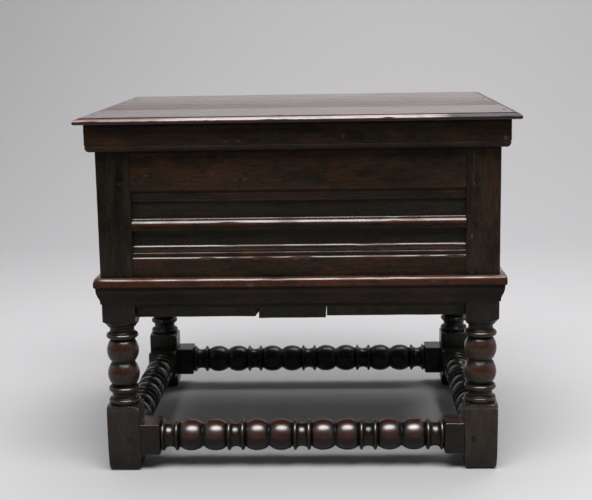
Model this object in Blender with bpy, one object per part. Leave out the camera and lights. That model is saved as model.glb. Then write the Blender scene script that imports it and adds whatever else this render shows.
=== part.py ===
# Box stool: a joined oak box with a hinged lid, on four turned legs tied by turned stretchers.
# Lengths are in metres. The origin is on the floor under the middle of the stool,
# +X runs to the right seen from the front, +Y to the back and +Z up.

import math

import bmesh
import bpy
from mathutils import Matrix, Vector

# Box and fits
BOX_WIDTH = 0.498               # over the posts, left to right
BOX_DEPTH = 0.411               # over the posts, front to back
POST_SIZE = 0.042               # square section of a post
FIT = 0.0003                    # gap between pieces that touch

# Heights; the legs take what the box leaves of the whole height
STOOL_HEIGHT = 0.455            # floor to the top of the lid
FOOT_SHARE = 0.43               # square foot's share of the height under the boards
BOARD_THICKNESS = 0.0145        # outer bottom boards
BOTTOM_RAIL = 0.079
PANEL_OPENING = 0.053           # daylight between the two rails
TOP_RAIL = 0.0994
LID_THICKNESS = 0.0085

# Frame joinery, measured in from the outer face of a post
RAIL_THICKNESS = 0.022
PANEL_SETBACK = 0.008           # outer face to the groove and the tenons
GROOVE_WIDTH = 0.008
GROOVE_DEPTH = 0.006
TENON_WALL = 0.004              # wood left between the two mortises of a post
TENON_MARGIN = 0.002            # wood between a groove and the tenon beside it
TENON_ROOT = 0.010              # tenon carried on into its own piece
HAUNCH = 0.012                  # tenon held back from the rail's free edge
PEG_RADIUS = 0.0025
PEG_LENGTH = 0.024
PEG_PROUD = 0.0006              # peg end standing out of the post
PEG_INSET = 0.012               # peg centre to the inner face of the post
TOP_PEG_RISE = 0.0250           # top rail's peg above the panel opening
BOTTOM_PEG_DROP = 0.0355        # bottom rail's peg below the panel opening

# Moulded edge of the front and side rails
EDGE_HEIGHT = 0.014             # arris to panel
EDGE_FILLET = 0.0036            # height of the first step
EDGE_STEP = 0.0015              # depth of each of the two steps
EDGE_LIP = 0.0015               # lip left in front of the groove

# Bar across the front panel
BAR_HEIGHT = 0.015
BAR_SETBACK = 0.001             # bar's face behind the outer faces
BAR_LEDGE = 0.002               # flat ledge along its top, beside the panel
BAR_QUIRK = 0.0015              # drop from the ledge to the round
BAR_ROUND = 0.004               # height of the round shoulder
BAR_TENON_SETBACK = 0.002
BAR_TENON = 0.0045              # thickness of the tenon
BAR_SHOULDER = 0.001            # bar's lower edge to its tenon

# Turned legs
FOOT_TAPER = 0.001              # foot is narrower by this at the floor, on each face
FOOT_WORN = 0.018               # height of the tapered part
FOOT_CHAMFER = 0.002
FOOT_ROUND = 0.006              # square foot rounding off into the turning
BLOCK_ROUND = 0.0025            # square corner post rounding off into the turning
BLOCK_DROP = 0.007              # square corner post carried on below the bottom boards
LEG_CUT = 0.0006                # wood turned off the square at a ball
LEG_NECK_RADIUS = 0.0147
LEG_FILLET_RADIUS = 0.0172
LEG_COVE_RADIUS = 0.0155
LEG_NECK = 0.001
FOOT_RING = 0.007               # ring on the foot
LEG_RING = 0.0095               # rings beside the balls
LEG_COVE = 0.0078
LEG_SHOULDER = 0.0025           # slope from the upper cove to the corner post

# Turned stretchers
STRETCHER_SETBACK = 0.0008      # square end blocks behind the posts' faces
STRETCHER_HEIGHT = 0.041        # floor to its middle
STRETCHER_BLOCK_MIN = 0.018     # least length of an end block
STRETCHER_TENON = 0.024         # height of the tenon
BALL_LENGTH = 0.0293
BALL_NECK = 0.004
BALL_NECK_RADIUS = 0.0145
RING_LENGTH = 0.004
RING_CUT = 0.0003               # wood turned off the square at a ring
RING_FILLET = 0.0008            # slope between a ball or a block and the ring beside it
RING_FILLET_RADIUS = 0.0165
RING_COVE = 0.013
RING_COVE_RADIUS = 0.0152

# Lid, its rim and the base moulding
LID_OVERHANG = 0.022            # front and sides, past the posts
LID_JOINT = 0.226               # width of the front board
LID_NOSE = 0.0075               # width of the moulded edge
LID_QUIRK = 0.0011              # step from the moulding up to the flat top
LID_BELLY = 0.0026              # underside up to the widest line of the edge
LID_UNDERCUT = 0.0022           # rounding of the lower arris
RIM_HEIGHT = 0.0341
RIM_GAP = 0.0008                # rim's inner face to the posts
RIM_PROJECTION = 0.0115         # rim's outer face past the posts
RIM_OVOLO = 0.007               # height of the round on its lower edge
RIM_OVOLO_DEPTH = 0.005
RIM_STEP = 0.001                # step from the face in to the round
BASE_PROJECTION = 0.0098
BASE_HEIGHT = 0.0345
BASE_DROP = 0.0395              # panel opening down to the top of the base moulding
BASE_SHELF = 0.002              # flat top beside the box
BASE_NOSE = 0.0105              # top down to the widest line of the round nose
BASE_QUIRK = 0.0025             # nose rolling under, and the fillet below it
BASE_TOE = 0.0015               # thickness left at the lower edge

# Bottom boards
BOARD_SETBACK = 0.012           # board edge behind the outer faces
BOARD_GAP = 0.0012
LEFT_BOARD = 0.184
MIDDLE_BOARD = 0.0845
MIDDLE_BOARD_SAG = 0.0025       # middle board is thicker by this

# Hinges
HINGE_INSET = 0.110             # box corner to the middle of a hinge
HINGE_MARGIN = 0.006            # hinge axis to the back edge of the lid
EYE_HOLE = 0.0019               # inner radius of the eye
EYE_BAND = 0.0026               # width and thickness of the eye's iron
EYE_GAP = 0.0005                # eye to rail and to lid
EYE_SHANK = 0.0055
STAPLE_RADIUS = 0.0015
STAPLE_HALF_WIDTH = 0.0045      # middle of the staple to the middle of a leg
STAPLE_BEND = 0.0018
STAPLE_LEG = 0.021

# Arcs of the turned profiles, in degrees to each side of the middle
BALL_ARC = 45
RING_ARC = 80
COVE_ARC = 60

# Facets
TURNED_POINTS = 12
ROUND_POINTS = 8
EYE_POINTS = 12
BALL_STEPS = 4
RING_STEPS = 2
CURVE_STEPS = 4
STAPLE_BEND_STEPS = 3

# Places worked out from the sizes
BOX_HEIGHT = BOARD_THICKNESS + BOTTOM_RAIL + PANEL_OPENING + TOP_RAIL + LID_THICKNESS + 2 * FIT
BOARD_BOTTOM = STOOL_HEIGHT - BOX_HEIGHT
BLOCK_BOTTOM = BOARD_BOTTOM - BLOCK_DROP
FOOT_HEIGHT = BOARD_BOTTOM * FOOT_SHARE
LEG_TURNED = BLOCK_BOTTOM - BLOCK_ROUND - FOOT_HEIGHT
LEG_BALL_RADIUS = POST_SIZE / 2 - LEG_CUT
STRETCHER_SIZE = POST_SIZE - 2 * STRETCHER_SETBACK
BALL_RADIUS = STRETCHER_SIZE / 2
RING_RADIUS = BALL_RADIUS - RING_CUT
RAIL_BOTTOM = BOARD_BOTTOM + BOARD_THICKNESS + FIT
PANEL_LOW = RAIL_BOTTOM + BOTTOM_RAIL
PANEL_HIGH = PANEL_LOW + PANEL_OPENING
BAR_LOW = (PANEL_LOW + PANEL_HIGH - BAR_HEIGHT) / 2
BOX_TOP = PANEL_HIGH + TOP_RAIL
LID_UNDER = BOX_TOP + FIT
TENON_BACK = PANEL_SETBACK + GROOVE_WIDTH
TENON_LENGTH = POST_SIZE - TENON_BACK - TENON_WALL
EYE_RADIUS = EYE_HOLE + EYE_BAND
HINGE_OFFSET = EYE_RADIUS + EYE_GAP
LID_BACK = HINGE_OFFSET + HINGE_MARGIN
LID_DEPTH = LID_OVERHANG + BOX_DEPTH + LID_BACK
FRONT_FACE = LID_OVERHANG - LID_DEPTH / 2

SIDE_NAMES = ("front", "right", "back", "left")
SIDE_ENDS = (("left", "right"), ("front", "back"), ("right", "left"), ("back", "front"))
POST_NAMES = ("front_left_post", "front_right_post", "back_right_post", "back_left_post")


def side_length(side):
    return BOX_WIDTH if side % 2 == 0 else BOX_DEPTH


# Each side of the box has its own frame: x runs along the side from the corner where it starts,
# y runs inward from the outer face and z up. Going round, each side starts where the last one ends.
def side_matrix(side):
    half = BOX_WIDTH / 2
    back_face = FRONT_FACE + BOX_DEPTH
    corners = ((-half, FRONT_FACE), (half, FRONT_FACE), (half, back_face), (-half, back_face))
    turn = Matrix.Rotation(side * math.pi / 2, 4, "Z")
    return Matrix.Translation((*corners[side], 0)) @ turn


def make_material(name, colour, roughness, metallic=0.0):
    material = bpy.data.materials.new(name)
    material.use_nodes = True
    shader = material.node_tree.nodes["Principled BSDF"]
    shader.inputs["Base Color"].default_value = (*colour, 1)
    shader.inputs["Roughness"].default_value = roughness
    shader.inputs["Metallic"].default_value = metallic
    return material


class Rig:
    # An empty together with its place in the world, to hang pieces on.
    def __init__(self, name, matrix):
        self.matrix = matrix
        self.empty = bpy.data.objects.new(name, None)
        self.empty.empty_display_size = 0.03
        self.empty.matrix_basis = matrix
        bpy.context.scene.collection.objects.link(self.empty)

    # The piece keeps the frame that it was drawn in.
    def carry(self, piece, frame):
        piece.parent = self.empty
        piece.matrix_basis = self.matrix.inverted() @ frame


def mesh_from(name, build):
    bm = bmesh.new()
    build(bm)
    bmesh.ops.recalc_face_normals(bm, faces=bm.faces)
    mesh = bpy.data.meshes.new(name)
    bm.to_mesh(mesh)
    bm.free()
    return mesh


def make_piece(name, material, build):
    mesh = mesh_from(name, build)
    mesh.materials.append(material)
    piece = bpy.data.objects.new(name, mesh)
    bpy.context.scene.collection.objects.link(piece)
    return piece


def add_loft(bm, rings):
    rows = [[bm.verts.new(point) for point in ring] for ring in rings]
    count = len(rows[0])
    for low, high in zip(rows, rows[1:]):
        for i in range(count):
            j = (i + 1) % count
            bm.faces.new((low[i], low[j], high[j], high[i]))
    bm.faces.new(rows[0])
    bm.faces.new(rows[-1])


def add_box(bm, low, high):
    ring = [(low[0], low[1]), (high[0], low[1]), (high[0], high[1]), (low[0], high[1])]
    add_prism(bm, ring, low[2], high[2])


def add_prism(bm, outline, low, high):
    add_loft(bm, [[(x, y, z) for x, y in outline] for z in (low, high)])


# A round rod along y, from y0 to y1.
def add_rod(bm, x, z, radius, y0, y1):
    angles = [2 * math.pi * (i + 0.5) / ROUND_POINTS for i in range(ROUND_POINTS)]
    ring = [(x + radius * math.cos(a), z + radius * math.sin(a)) for a in angles]
    add_loft(bm, [[(px, y, pz) for px, pz in ring] for y in (y0, y1)])


# A strip of constant section along x. The section is a list of (y, z) points;
# a mitred end slants by 45 degrees, following y.
def add_strip(bm, section, x0, x1, mitre0=0.0, mitre1=0.0):
    start = [(x0 + mitre0 * y, y, z) for y, z in section]
    end = [(x1 + mitre1 * y, y, z) for y, z in section]
    add_loft(bm, [start, end])


def carve(piece, operation, build):
    cutter = bpy.data.objects.new("cutter", mesh_from("cutter", build))
    cutter.hide_render = True
    cutter.display_type = "WIRE"
    bpy.context.scene.collection.objects.link(cutter)
    modifier = piece.modifiers.new("carve", "BOOLEAN")
    modifier.operation = operation
    modifier.object = cutter
    modifier.solver = "EXACT"
    graph = bpy.context.evaluated_depsgraph_get()
    carved = bpy.data.meshes.new_from_object(piece.evaluated_get(graph))
    piece.modifiers.clear()
    uncut = piece.data
    piece.data = carved
    bpy.data.meshes.remove(uncut)
    carved.name = piece.name
    cutter_mesh = cutter.data
    bpy.data.objects.remove(cutter)
    bpy.data.meshes.remove(cutter_mesh)


def shade_round(piece):
    piece.data.shade_smooth()
    piece.data.set_sharp_from_angle(angle=math.radians(40))


# S-shaped moulding from one point to another, upright at both ends.
def ogee(start, end, steps):
    points = []
    for i in range(1, steps + 1):
        share = i / steps
        swing = (1 - math.cos(math.pi * share)) / 2
        points.append((start[0] + (end[0] - start[0]) * swing, start[1] + (end[1] - start[1]) * share))
    return points


# A quarter of an ellipse from start to end. It leaves the start along the first coordinate,
# or along the second one where across_first is false.
def quarter(start, end, across_first, steps):
    points = []
    for i in range(1, steps + 1):
        angle = math.pi / 2 * i / steps
        first, second = math.sin(angle), 1 - math.cos(angle)
        if not across_first:
            first, second = second, first
        points.append((start[0] + (end[0] - start[0]) * first, start[1] + (end[1] - start[1]) * second))
    return points


# Turned profiles are lists of (distance, radius) points.
# An arc swells from low to high and back; with high under low it is a hollow cove.
def arc(length, low, high, half_angle, steps):
    spread = math.radians(half_angle)
    points = []
    for i in range(steps + 1):
        angle = spread * (2 * i / steps - 1)
        rise = (math.cos(angle) - math.cos(spread)) / (1 - math.cos(spread))
        points.append((length * (1 + math.sin(angle) / math.sin(spread)) / 2, low + (high - low) * rise))
    return points


def plain(length, radius):
    return [(0, radius), (length, radius)]


def chain(start, elements):
    points = []
    place = start
    for element in elements:
        for distance, radius in element:
            point = (place + distance, radius)
            if not points or math.dist(point, points[-1]) > FIT / 10:
                points.append(point)
        place += element[-1][0]
    return points


# Corner points come first in each quarter, so that round and square rings join up.
def round_ring(radius):
    angles = [math.pi * (0.25 + 2 * i / TURNED_POINTS) for i in range(TURNED_POINTS)]
    return [(radius * math.cos(a), radius * math.sin(a)) for a in angles]


def square_ring(half):
    corners = [Vector((half, half)), Vector((-half, half)), Vector((-half, -half)), Vector((half, -half))]
    per_side = TURNED_POINTS // 4
    ring = []
    for i, corner in enumerate(corners):
        following = corners[(i + 1) % 4]
        ring += [tuple(corner.lerp(following, j / per_side)) for j in range(per_side)]
    return ring


# Tenons of one side: name, height range, depth range and height of the peg.
def side_tenons(side):
    z_top = (PANEL_HIGH + GROOVE_DEPTH + TENON_MARGIN, BOX_TOP - HAUNCH)
    z_bottom = (RAIL_BOTTOM + HAUNCH, PANEL_LOW - GROOVE_DEPTH - TENON_MARGIN)
    z_stretcher = (STRETCHER_HEIGHT - STRETCHER_TENON / 2, STRETCHER_HEIGHT + STRETCHER_TENON / 2)
    depth = (PANEL_SETBACK, TENON_BACK)
    tenons = {
        "top_rail": (z_top, depth, PANEL_HIGH + TOP_PEG_RISE),
        "bottom_rail": (z_bottom, depth, PANEL_LOW - BOTTOM_PEG_DROP),
        "stretcher": (z_stretcher, depth, STRETCHER_HEIGHT),
    }
    if side == 0:
        z_bar = (BAR_LOW + BAR_SHOULDER, BAR_LOW + BAR_HEIGHT - BAR_QUIRK - BAR_ROUND)
        bar_depth = (BAR_TENON_SETBACK, BAR_TENON_SETBACK + BAR_TENON)
        tenons["panel_bar"] = (z_bar, bar_depth, sum(z_bar) / 2)
    return tenons


# The back rails' pegs, out of sight behind the stool, are left out. Every other tenon is pegged.
def is_pegged(side, tenon):
    return side != 2 or tenon == "stretcher"


def peg_places(side):
    return POST_SIZE - PEG_INSET, side_length(side) - POST_SIZE + PEG_INSET


def add_peg_holes(bm, side, height):
    for x in peg_places(side):
        add_rod(bm, x, height, PEG_RADIUS + FIT, -PEG_PROUD - FIT, PEG_LENGTH - PEG_PROUD + FIT)


def fit_tenons(piece, side, tenon):
    (low, high), (front, back), peg = side_tenons(side)[tenon]
    tip = POST_SIZE - TENON_LENGTH + FIT
    root = POST_SIZE + FIT + TENON_ROOT

    def tongues(bm):
        for x0, x1 in ((tip, root), (side_length(side) - root, side_length(side) - tip)):
            add_box(bm, (x0, front + FIT, low + FIT), (x1, back - FIT, high - FIT))

    carve(piece, "UNION", tongues)
    if is_pegged(side, tenon):
        carve(piece, "DIFFERENCE", lambda bm: add_peg_holes(bm, side, peg))


# Mortises and the panel groove of one side in the post where that side starts.
# With swap the same cuts are made for the side that ends at this post.
def add_mortises(bm, side, swap):
    boxes = []
    for (low, high), (front, back), _ in side_tenons(side).values():
        boxes.append(((POST_SIZE - TENON_LENGTH, front, low), (POST_SIZE + FIT, back, high)))
    groove_low = (POST_SIZE - GROOVE_DEPTH, PANEL_SETBACK, PANEL_LOW - GROOVE_DEPTH)
    boxes.append((groove_low, (POST_SIZE + FIT, TENON_BACK, PANEL_HIGH + GROOVE_DEPTH)))
    for low, high in boxes:
        if swap:
            low = (low[1], low[0], low[2])
            high = (high[1], high[0], high[2])
        add_box(bm, low, high)


def add_post_holes(bm, side):
    across = POST_SIZE - PEG_INSET
    deep = PEG_LENGTH - PEG_PROUD + FIT
    for tenon, (_, _, peg) in side_tenons(side).items():
        if is_pegged(side, tenon):
            add_rod(bm, across, peg, PEG_RADIUS + FIT, -PEG_PROUD - FIT, deep)


def swap_sides(bm):
    for vert in bm.verts:
        vert.co = (vert.co.y, vert.co.x, vert.co.z)


def leg_profile():
    foot_ring = arc(FOOT_RING, LEG_FILLET_RADIUS, LEG_BALL_RADIUS, RING_ARC, RING_STEPS)
    ring = arc(LEG_RING, LEG_FILLET_RADIUS, LEG_BALL_RADIUS, RING_ARC, RING_STEPS)
    cove = arc(LEG_COVE, LEG_FILLET_RADIUS, LEG_COVE_RADIUS, COVE_ARC, RING_STEPS)
    neck = plain(LEG_NECK, LEG_NECK_RADIUS)
    shoulder = [(0, LEG_FILLET_RADIUS), (LEG_SHOULDER, LEG_BALL_RADIUS)]
    fixed = FOOT_RING + 2 * LEG_COVE + 2 * LEG_RING + LEG_NECK + LEG_SHOULDER
    ball_length = (LEG_TURNED - fixed) / 2
    ball = arc(ball_length, LEG_NECK_RADIUS, LEG_BALL_RADIUS, BALL_ARC, BALL_STEPS)
    return chain(FOOT_HEIGHT, [foot_ring, cove, ring, ball, neck, ball, ring, cove, shoulder])


def make_post(corner, material):
    half = POST_SIZE / 2
    foot = half - FOOT_TAPER
    square = [(0, foot - FOOT_CHAMFER), (FOOT_CHAMFER, foot)]
    square += [(FOOT_WORN, half), (FOOT_HEIGHT - FOOT_ROUND, half)]
    rings = [(z, square_ring(size)) for z, size in square]
    rings += [(z, round_ring(radius)) for z, radius in leg_profile()]
    rings += [(z, square_ring(half)) for z in (BLOCK_BOTTOM, BOX_TOP)]

    def build(bm):
        add_loft(bm, [[(half + x, half + y, z) for x, y in ring] for z, ring in rings])

    post = make_piece(POST_NAMES[corner], material, build)
    starting = corner
    ending = (corner - 1) % 4

    def mortises(bm):
        add_mortises(bm, starting, False)
        add_mortises(bm, ending, True)

    def holes_here(bm):
        add_post_holes(bm, starting)

    def holes_across(bm):
        add_post_holes(bm, ending)
        swap_sides(bm)

    carve(post, "DIFFERENCE", mortises)
    carve(post, "DIFFERENCE", holes_here)
    carve(post, "DIFFERENCE", holes_across)
    shade_round(post)
    return post


# Section of a rail from its free edge to the edge beside the panel, grooved for the panel.
def rail_section(free_edge, panel_edge, moulded):
    up = 1 if panel_edge > free_edge else -1
    section = [(RAIL_THICKNESS, free_edge), (0, free_edge)]
    if moulded:
        arris = panel_edge - up * EDGE_HEIGHT
        step = arris + up * EDGE_FILLET
        section += [(0, arris), (EDGE_STEP, arris), (EDGE_STEP, step), (2 * EDGE_STEP, step)]
        deep = PANEL_SETBACK - EDGE_LIP
        section += ogee((2 * EDGE_STEP, step), (deep, panel_edge - up * EDGE_LIP), CURVE_STEPS)
        section.append((deep, panel_edge))
    else:
        section.append((0, panel_edge))
    groove_floor = panel_edge - up * GROOVE_DEPTH
    section += [(PANEL_SETBACK, panel_edge), (PANEL_SETBACK, groove_floor)]
    section += [(TENON_BACK, groove_floor), (TENON_BACK, panel_edge), (RAIL_THICKNESS, panel_edge)]
    return section


def make_rail(side, tenon, material):
    moulded = side != 2
    if tenon == "top_rail":
        section = rail_section(BOX_TOP, PANEL_HIGH, moulded)
    else:
        section = rail_section(RAIL_BOTTOM, PANEL_LOW, moulded)
    ends = (POST_SIZE + FIT, side_length(side) - POST_SIZE - FIT)
    rail = make_piece(f"{SIDE_NAMES[side]}_{tenon}", material, lambda bm: add_strip(bm, section, *ends))
    fit_tenons(rail, side, tenon)
    return rail


def make_bar(material):
    high = BAR_LOW + BAR_HEIGHT
    ledge = PANEL_SETBACK - BAR_LEDGE
    shoulder = (ledge, high - BAR_QUIRK)
    face = (BAR_SETBACK, shoulder[1] - BAR_ROUND)
    section = [(PANEL_SETBACK, BAR_LOW), (BAR_SETBACK, BAR_LOW), face]
    section += quarter(face, shoulder, False, CURVE_STEPS)
    section += [(ledge, high), (PANEL_SETBACK, high)]
    ends = (POST_SIZE + FIT, BOX_WIDTH - POST_SIZE - FIT)
    bar = make_piece("front_panel_bar", material, lambda bm: add_strip(bm, section, *ends))
    fit_tenons(bar, 0, "panel_bar")
    return bar


def make_panel(side, material):
    reach = POST_SIZE - GROOVE_DEPTH + FIT
    low = (reach, PANEL_SETBACK + FIT, PANEL_LOW - GROOVE_DEPTH + FIT)
    high = (side_length(side) - reach, TENON_BACK - FIT, PANEL_HIGH + GROOVE_DEPTH - FIT)
    return make_piece(f"{SIDE_NAMES[side]}_panel", material, lambda bm: add_box(bm, low, high))


def stretcher_profile(room):
    ring = arc(RING_LENGTH, RING_FILLET_RADIUS, RING_RADIUS, RING_ARC, RING_STEPS)
    cove = arc(RING_COVE, RING_FILLET_RADIUS, RING_COVE_RADIUS, COVE_ARC, RING_STEPS)
    rise = [(RING_FILLET, RING_FILLET_RADIUS)]
    fall = [(RING_FILLET, BALL_NECK_RADIUS)]
    group = [rise, ring, cove, ring, fall]
    ball = arc(BALL_LENGTH, BALL_NECK_RADIUS, BALL_RADIUS, BALL_ARC, BALL_STEPS)
    pair = [ball, plain(BALL_NECK, BALL_NECK_RADIUS), ball]
    group_length = sum(element[-1][0] for element in group)
    pair_length = sum(element[-1][0] for element in pair)
    pairs = int((room - 2 * STRETCHER_BLOCK_MIN - group_length) / (pair_length + group_length))
    block = (room - group_length - pairs * (pair_length + group_length)) / 2
    return chain(block, group + (pair + group) * pairs), block


def make_stretcher(side, material):
    length = side_length(side)
    start = POST_SIZE + FIT
    end = length - POST_SIZE - FIT
    profile, block = stretcher_profile(end - start)
    square = square_ring(STRETCHER_SIZE / 2)
    edge = block - RING_FILLET
    rings = [(start, square), (start + edge, square)]
    rings += [(start + place, round_ring(radius)) for place, radius in profile]
    rings += [(end - edge, square), (end, square)]

    def build(bm):
        centre = POST_SIZE / 2
        loops = [[(x, centre + y, STRETCHER_HEIGHT + z) for y, z in ring] for x, ring in rings]
        add_loft(bm, loops)

    stretcher = make_piece(f"{SIDE_NAMES[side]}_stretcher", material, build)
    fit_tenons(stretcher, side, "stretcher")
    shade_round(stretcher)
    return stretcher


def make_pegs(side, material):
    pegs = []
    for tenon, (_, _, height) in side_tenons(side).items():
        if not is_pegged(side, tenon):
            continue
        for end, x in zip(SIDE_ENDS[side], peg_places(side)):
            name = f"{SIDE_NAMES[side]}_{tenon}_{end}_peg"

            def build(bm):
                add_rod(bm, x, height, PEG_RADIUS, -PEG_PROUD, PEG_LENGTH - PEG_PROUD)

            peg = make_piece(name, material, build)
            shade_round(peg)
            pegs.append(peg)
    return pegs


# Strip along a side, mitred where it meets its neighbour at a front corner.
def make_skirt(name, side, section, material):
    mitre_start = 1 if side in (0, 1) else 0
    mitre_end = 1 if side in (0, 3) else 0
    start = FIT * mitre_start
    end = side_length(side) - FIT * mitre_end

    def build(bm):
        add_strip(bm, section, start, end, mitre_start, -mitre_end)

    return make_piece(name, material, build)


def base_section():
    top = PANEL_LOW - BASE_DROP
    bottom = top - BASE_HEIGHT
    shelf = (-BASE_SHELF, top)
    nose = (-BASE_PROJECTION, top - BASE_NOSE)
    quirk = (nose[0] + BASE_QUIRK, nose[1] - BASE_QUIRK)
    fillet = (quirk[0], quirk[1] - BASE_QUIRK)
    toe = (-BASE_TOE, bottom + BASE_QUIRK)
    section = [(-FIT, bottom), (-FIT, top), shelf]
    section += quarter(shelf, nose, True, CURVE_STEPS)
    section += quarter(nose, quirk, False, CURVE_STEPS // 2)
    section.append(fillet)
    section += ogee(fillet, toe, CURVE_STEPS)
    section.append((toe[0], bottom))
    return section


def rim_section():
    top = LID_UNDER - FIT
    low = top - RIM_HEIGHT
    face = (-RIM_PROJECTION, low + RIM_OVOLO)
    step = (face[0] + RIM_STEP, face[1])
    section = [(-RIM_GAP, low), (-RIM_GAP, top), (face[0], top), face, step]
    section += quarter(step, (step[0] + RIM_OVOLO_DEPTH, low), False, CURVE_STEPS)
    return section


# Moulded edge of the lid, from its underside to its top: points of (inset, height).
def lid_edge():
    under = (LID_UNDERCUT, 0)
    belly = (0, LID_BELLY)
    quirk = (LID_NOSE, LID_THICKNESS - LID_QUIRK)
    round_edge = quarter(under, belly, True, CURVE_STEPS // 2) + quarter(belly, quirk, False, CURVE_STEPS)
    return [under, *round_edge, (LID_NOSE, LID_THICKNESS)]


# The front board is moulded on its front and ends, the back board on its ends only.
def make_lid_board(name, front, back, front_moulded, material):
    def build(bm):
        rings = []
        for inset, height in lid_edge():
            left = -LID_OVERHANG + inset
            right = BOX_WIDTH + LID_OVERHANG - inset
            near = front + (inset if front_moulded else 0)
            z = LID_UNDER + height
            rings.append([(left, near, z), (right, near, z), (right, back, z), (left, back, z)])
        add_loft(bm, rings)

    return make_piece(name, material, build)


def make_bottom_board(name, outline, low, material):
    high = BOARD_BOTTOM + BOARD_THICKNESS
    return make_piece(name, material, lambda bm: add_prism(bm, outline, low, high))


def make_bottom_boards(material):
    near = BOARD_SETBACK
    far = BOX_DEPTH - BOARD_SETBACK
    notch_near = POST_SIZE + FIT
    notch_far = BOX_DEPTH - POST_SIZE - FIT

    # An outer board goes round the two posts at its outer edge.
    def notched(inner, outer, notch):
        return [(inner, near), (inner, far), (notch, far), (notch, notch_far),
                (outer, notch_far), (outer, notch_near), (notch, notch_near), (notch, near)]

    left_edge = BOARD_SETBACK + LEFT_BOARD
    middle_start = left_edge + BOARD_GAP
    middle_end = middle_start + MIDDLE_BOARD
    right_start = middle_end + BOARD_GAP
    left = notched(left_edge, BOARD_SETBACK, POST_SIZE + FIT)
    right = notched(right_start, BOX_WIDTH - BOARD_SETBACK, BOX_WIDTH - POST_SIZE - FIT)
    middle = [(middle_start, near), (middle_end, near), (middle_end, far), (middle_start, far)]
    return [
        make_bottom_board("left_bottom_board", left, BOARD_BOTTOM, material),
        make_bottom_board("middle_bottom_board", middle, BOARD_BOTTOM - MIDDLE_BOARD_SAG, material),
        make_bottom_board("right_bottom_board", right, BOARD_BOTTOM, material),
    ]


# The hinges are drawn in the back side's frame, where y points into the box.
def hinge_places():
    return {"right": HINGE_INSET, "left": BOX_WIDTH - HINGE_INSET}


# A wire staple whose crossbar is the hinge pin; its two legs are driven into the back top rail.
def add_staple(bm, x):
    axis_y = -HINGE_OFFSET
    bend_y = axis_y + STAPLE_BEND
    leg_end = axis_y + STAPLE_LEG
    path = []
    for side in (-1, 1):
        half = [(x + side * STAPLE_HALF_WIDTH, leg_end)]
        for i in range(STAPLE_BEND_STEPS + 1):
            angle = math.pi / 2 * i / STAPLE_BEND_STEPS
            reach = STAPLE_HALF_WIDTH - STAPLE_BEND * (1 - math.cos(angle))
            half.append((x + side * reach, bend_y - STAPLE_BEND * math.sin(angle)))
        path += half if side < 0 else half[::-1]
    rings = []
    for i, point in enumerate(path):
        before = Vector(path[max(i - 1, 0)])
        after = Vector(path[min(i + 1, len(path) - 1)])
        along = (after - before).normalized()
        across = Vector((-along.y, along.x, 0))
        ring = []
        for j in range(ROUND_POINTS):
            angle = 2 * math.pi * (j + 0.5) / ROUND_POINTS
            offset = across * math.cos(angle) + Vector((0, 0, math.sin(angle)))
            ring.append(Vector((*point, LID_UNDER - HINGE_OFFSET)) + offset * STAPLE_RADIUS)
        rings.append(ring)
    add_loft(bm, rings)


def add_staple_holes(bm):
    for x in hinge_places().values():
        for side in (-1, 1):
            leg = x + side * STAPLE_HALF_WIDTH
            depth = STAPLE_LEG - HINGE_OFFSET + FIT
            add_rod(bm, leg, LID_UNDER - HINGE_OFFSET, STAPLE_RADIUS + FIT, -FIT, depth)


# A forged eye that turns on the staple, drawn up into a square shank in the lid.
def add_eye(bm, x):
    half = EYE_BAND / 2
    corner = math.cos(math.pi / EYE_POINTS)
    rows = []
    for plane, apothem in ((-half, EYE_RADIUS), (half, EYE_RADIUS), (half, EYE_HOLE), (-half, EYE_HOLE)):
        row = []
        for i in range(EYE_POINTS):
            angle = math.pi / 2 + math.pi * (2 * i - 1) / EYE_POINTS
            y = -HINGE_OFFSET + apothem / corner * math.cos(angle)
            z = LID_UNDER - HINGE_OFFSET + apothem / corner * math.sin(angle)
            row.append(bm.verts.new((x + plane, y, z)))
        rows.append(row)
    for k, row in enumerate(rows):
        following = rows[(k + 1) % 4]
        for i in range(EYE_POINTS):
            j = (i + 1) % EYE_POINTS
            # The outer face at the very top is where the shank grows.
            if k == 0 and i == 0:
                continue
            bm.faces.new((row[i], row[j], following[j], following[i]))
    root = [rows[0][0], rows[0][1], rows[1][1], rows[1][0]]
    tip = [bm.verts.new((vert.co.x, vert.co.y, LID_UNDER + EYE_SHANK)) for vert in root]
    for i in range(4):
        j = (i + 1) % 4
        bm.faces.new((root[i], root[j], tip[j], tip[i]))
    bm.faces.new(tip)


def add_shank_holes(bm):
    half_x = EYE_BAND / 2 + FIT
    half_y = EYE_RADIUS * math.tan(math.pi / EYE_POINTS) + FIT
    y = BOX_DEPTH + HINGE_OFFSET
    for x in hinge_places().values():
        low = (x - half_x, y - half_y, LID_UNDER - FIT)
        add_box(bm, low, (x + half_x, y + half_y, LID_UNDER + EYE_SHANK + FIT))


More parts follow.
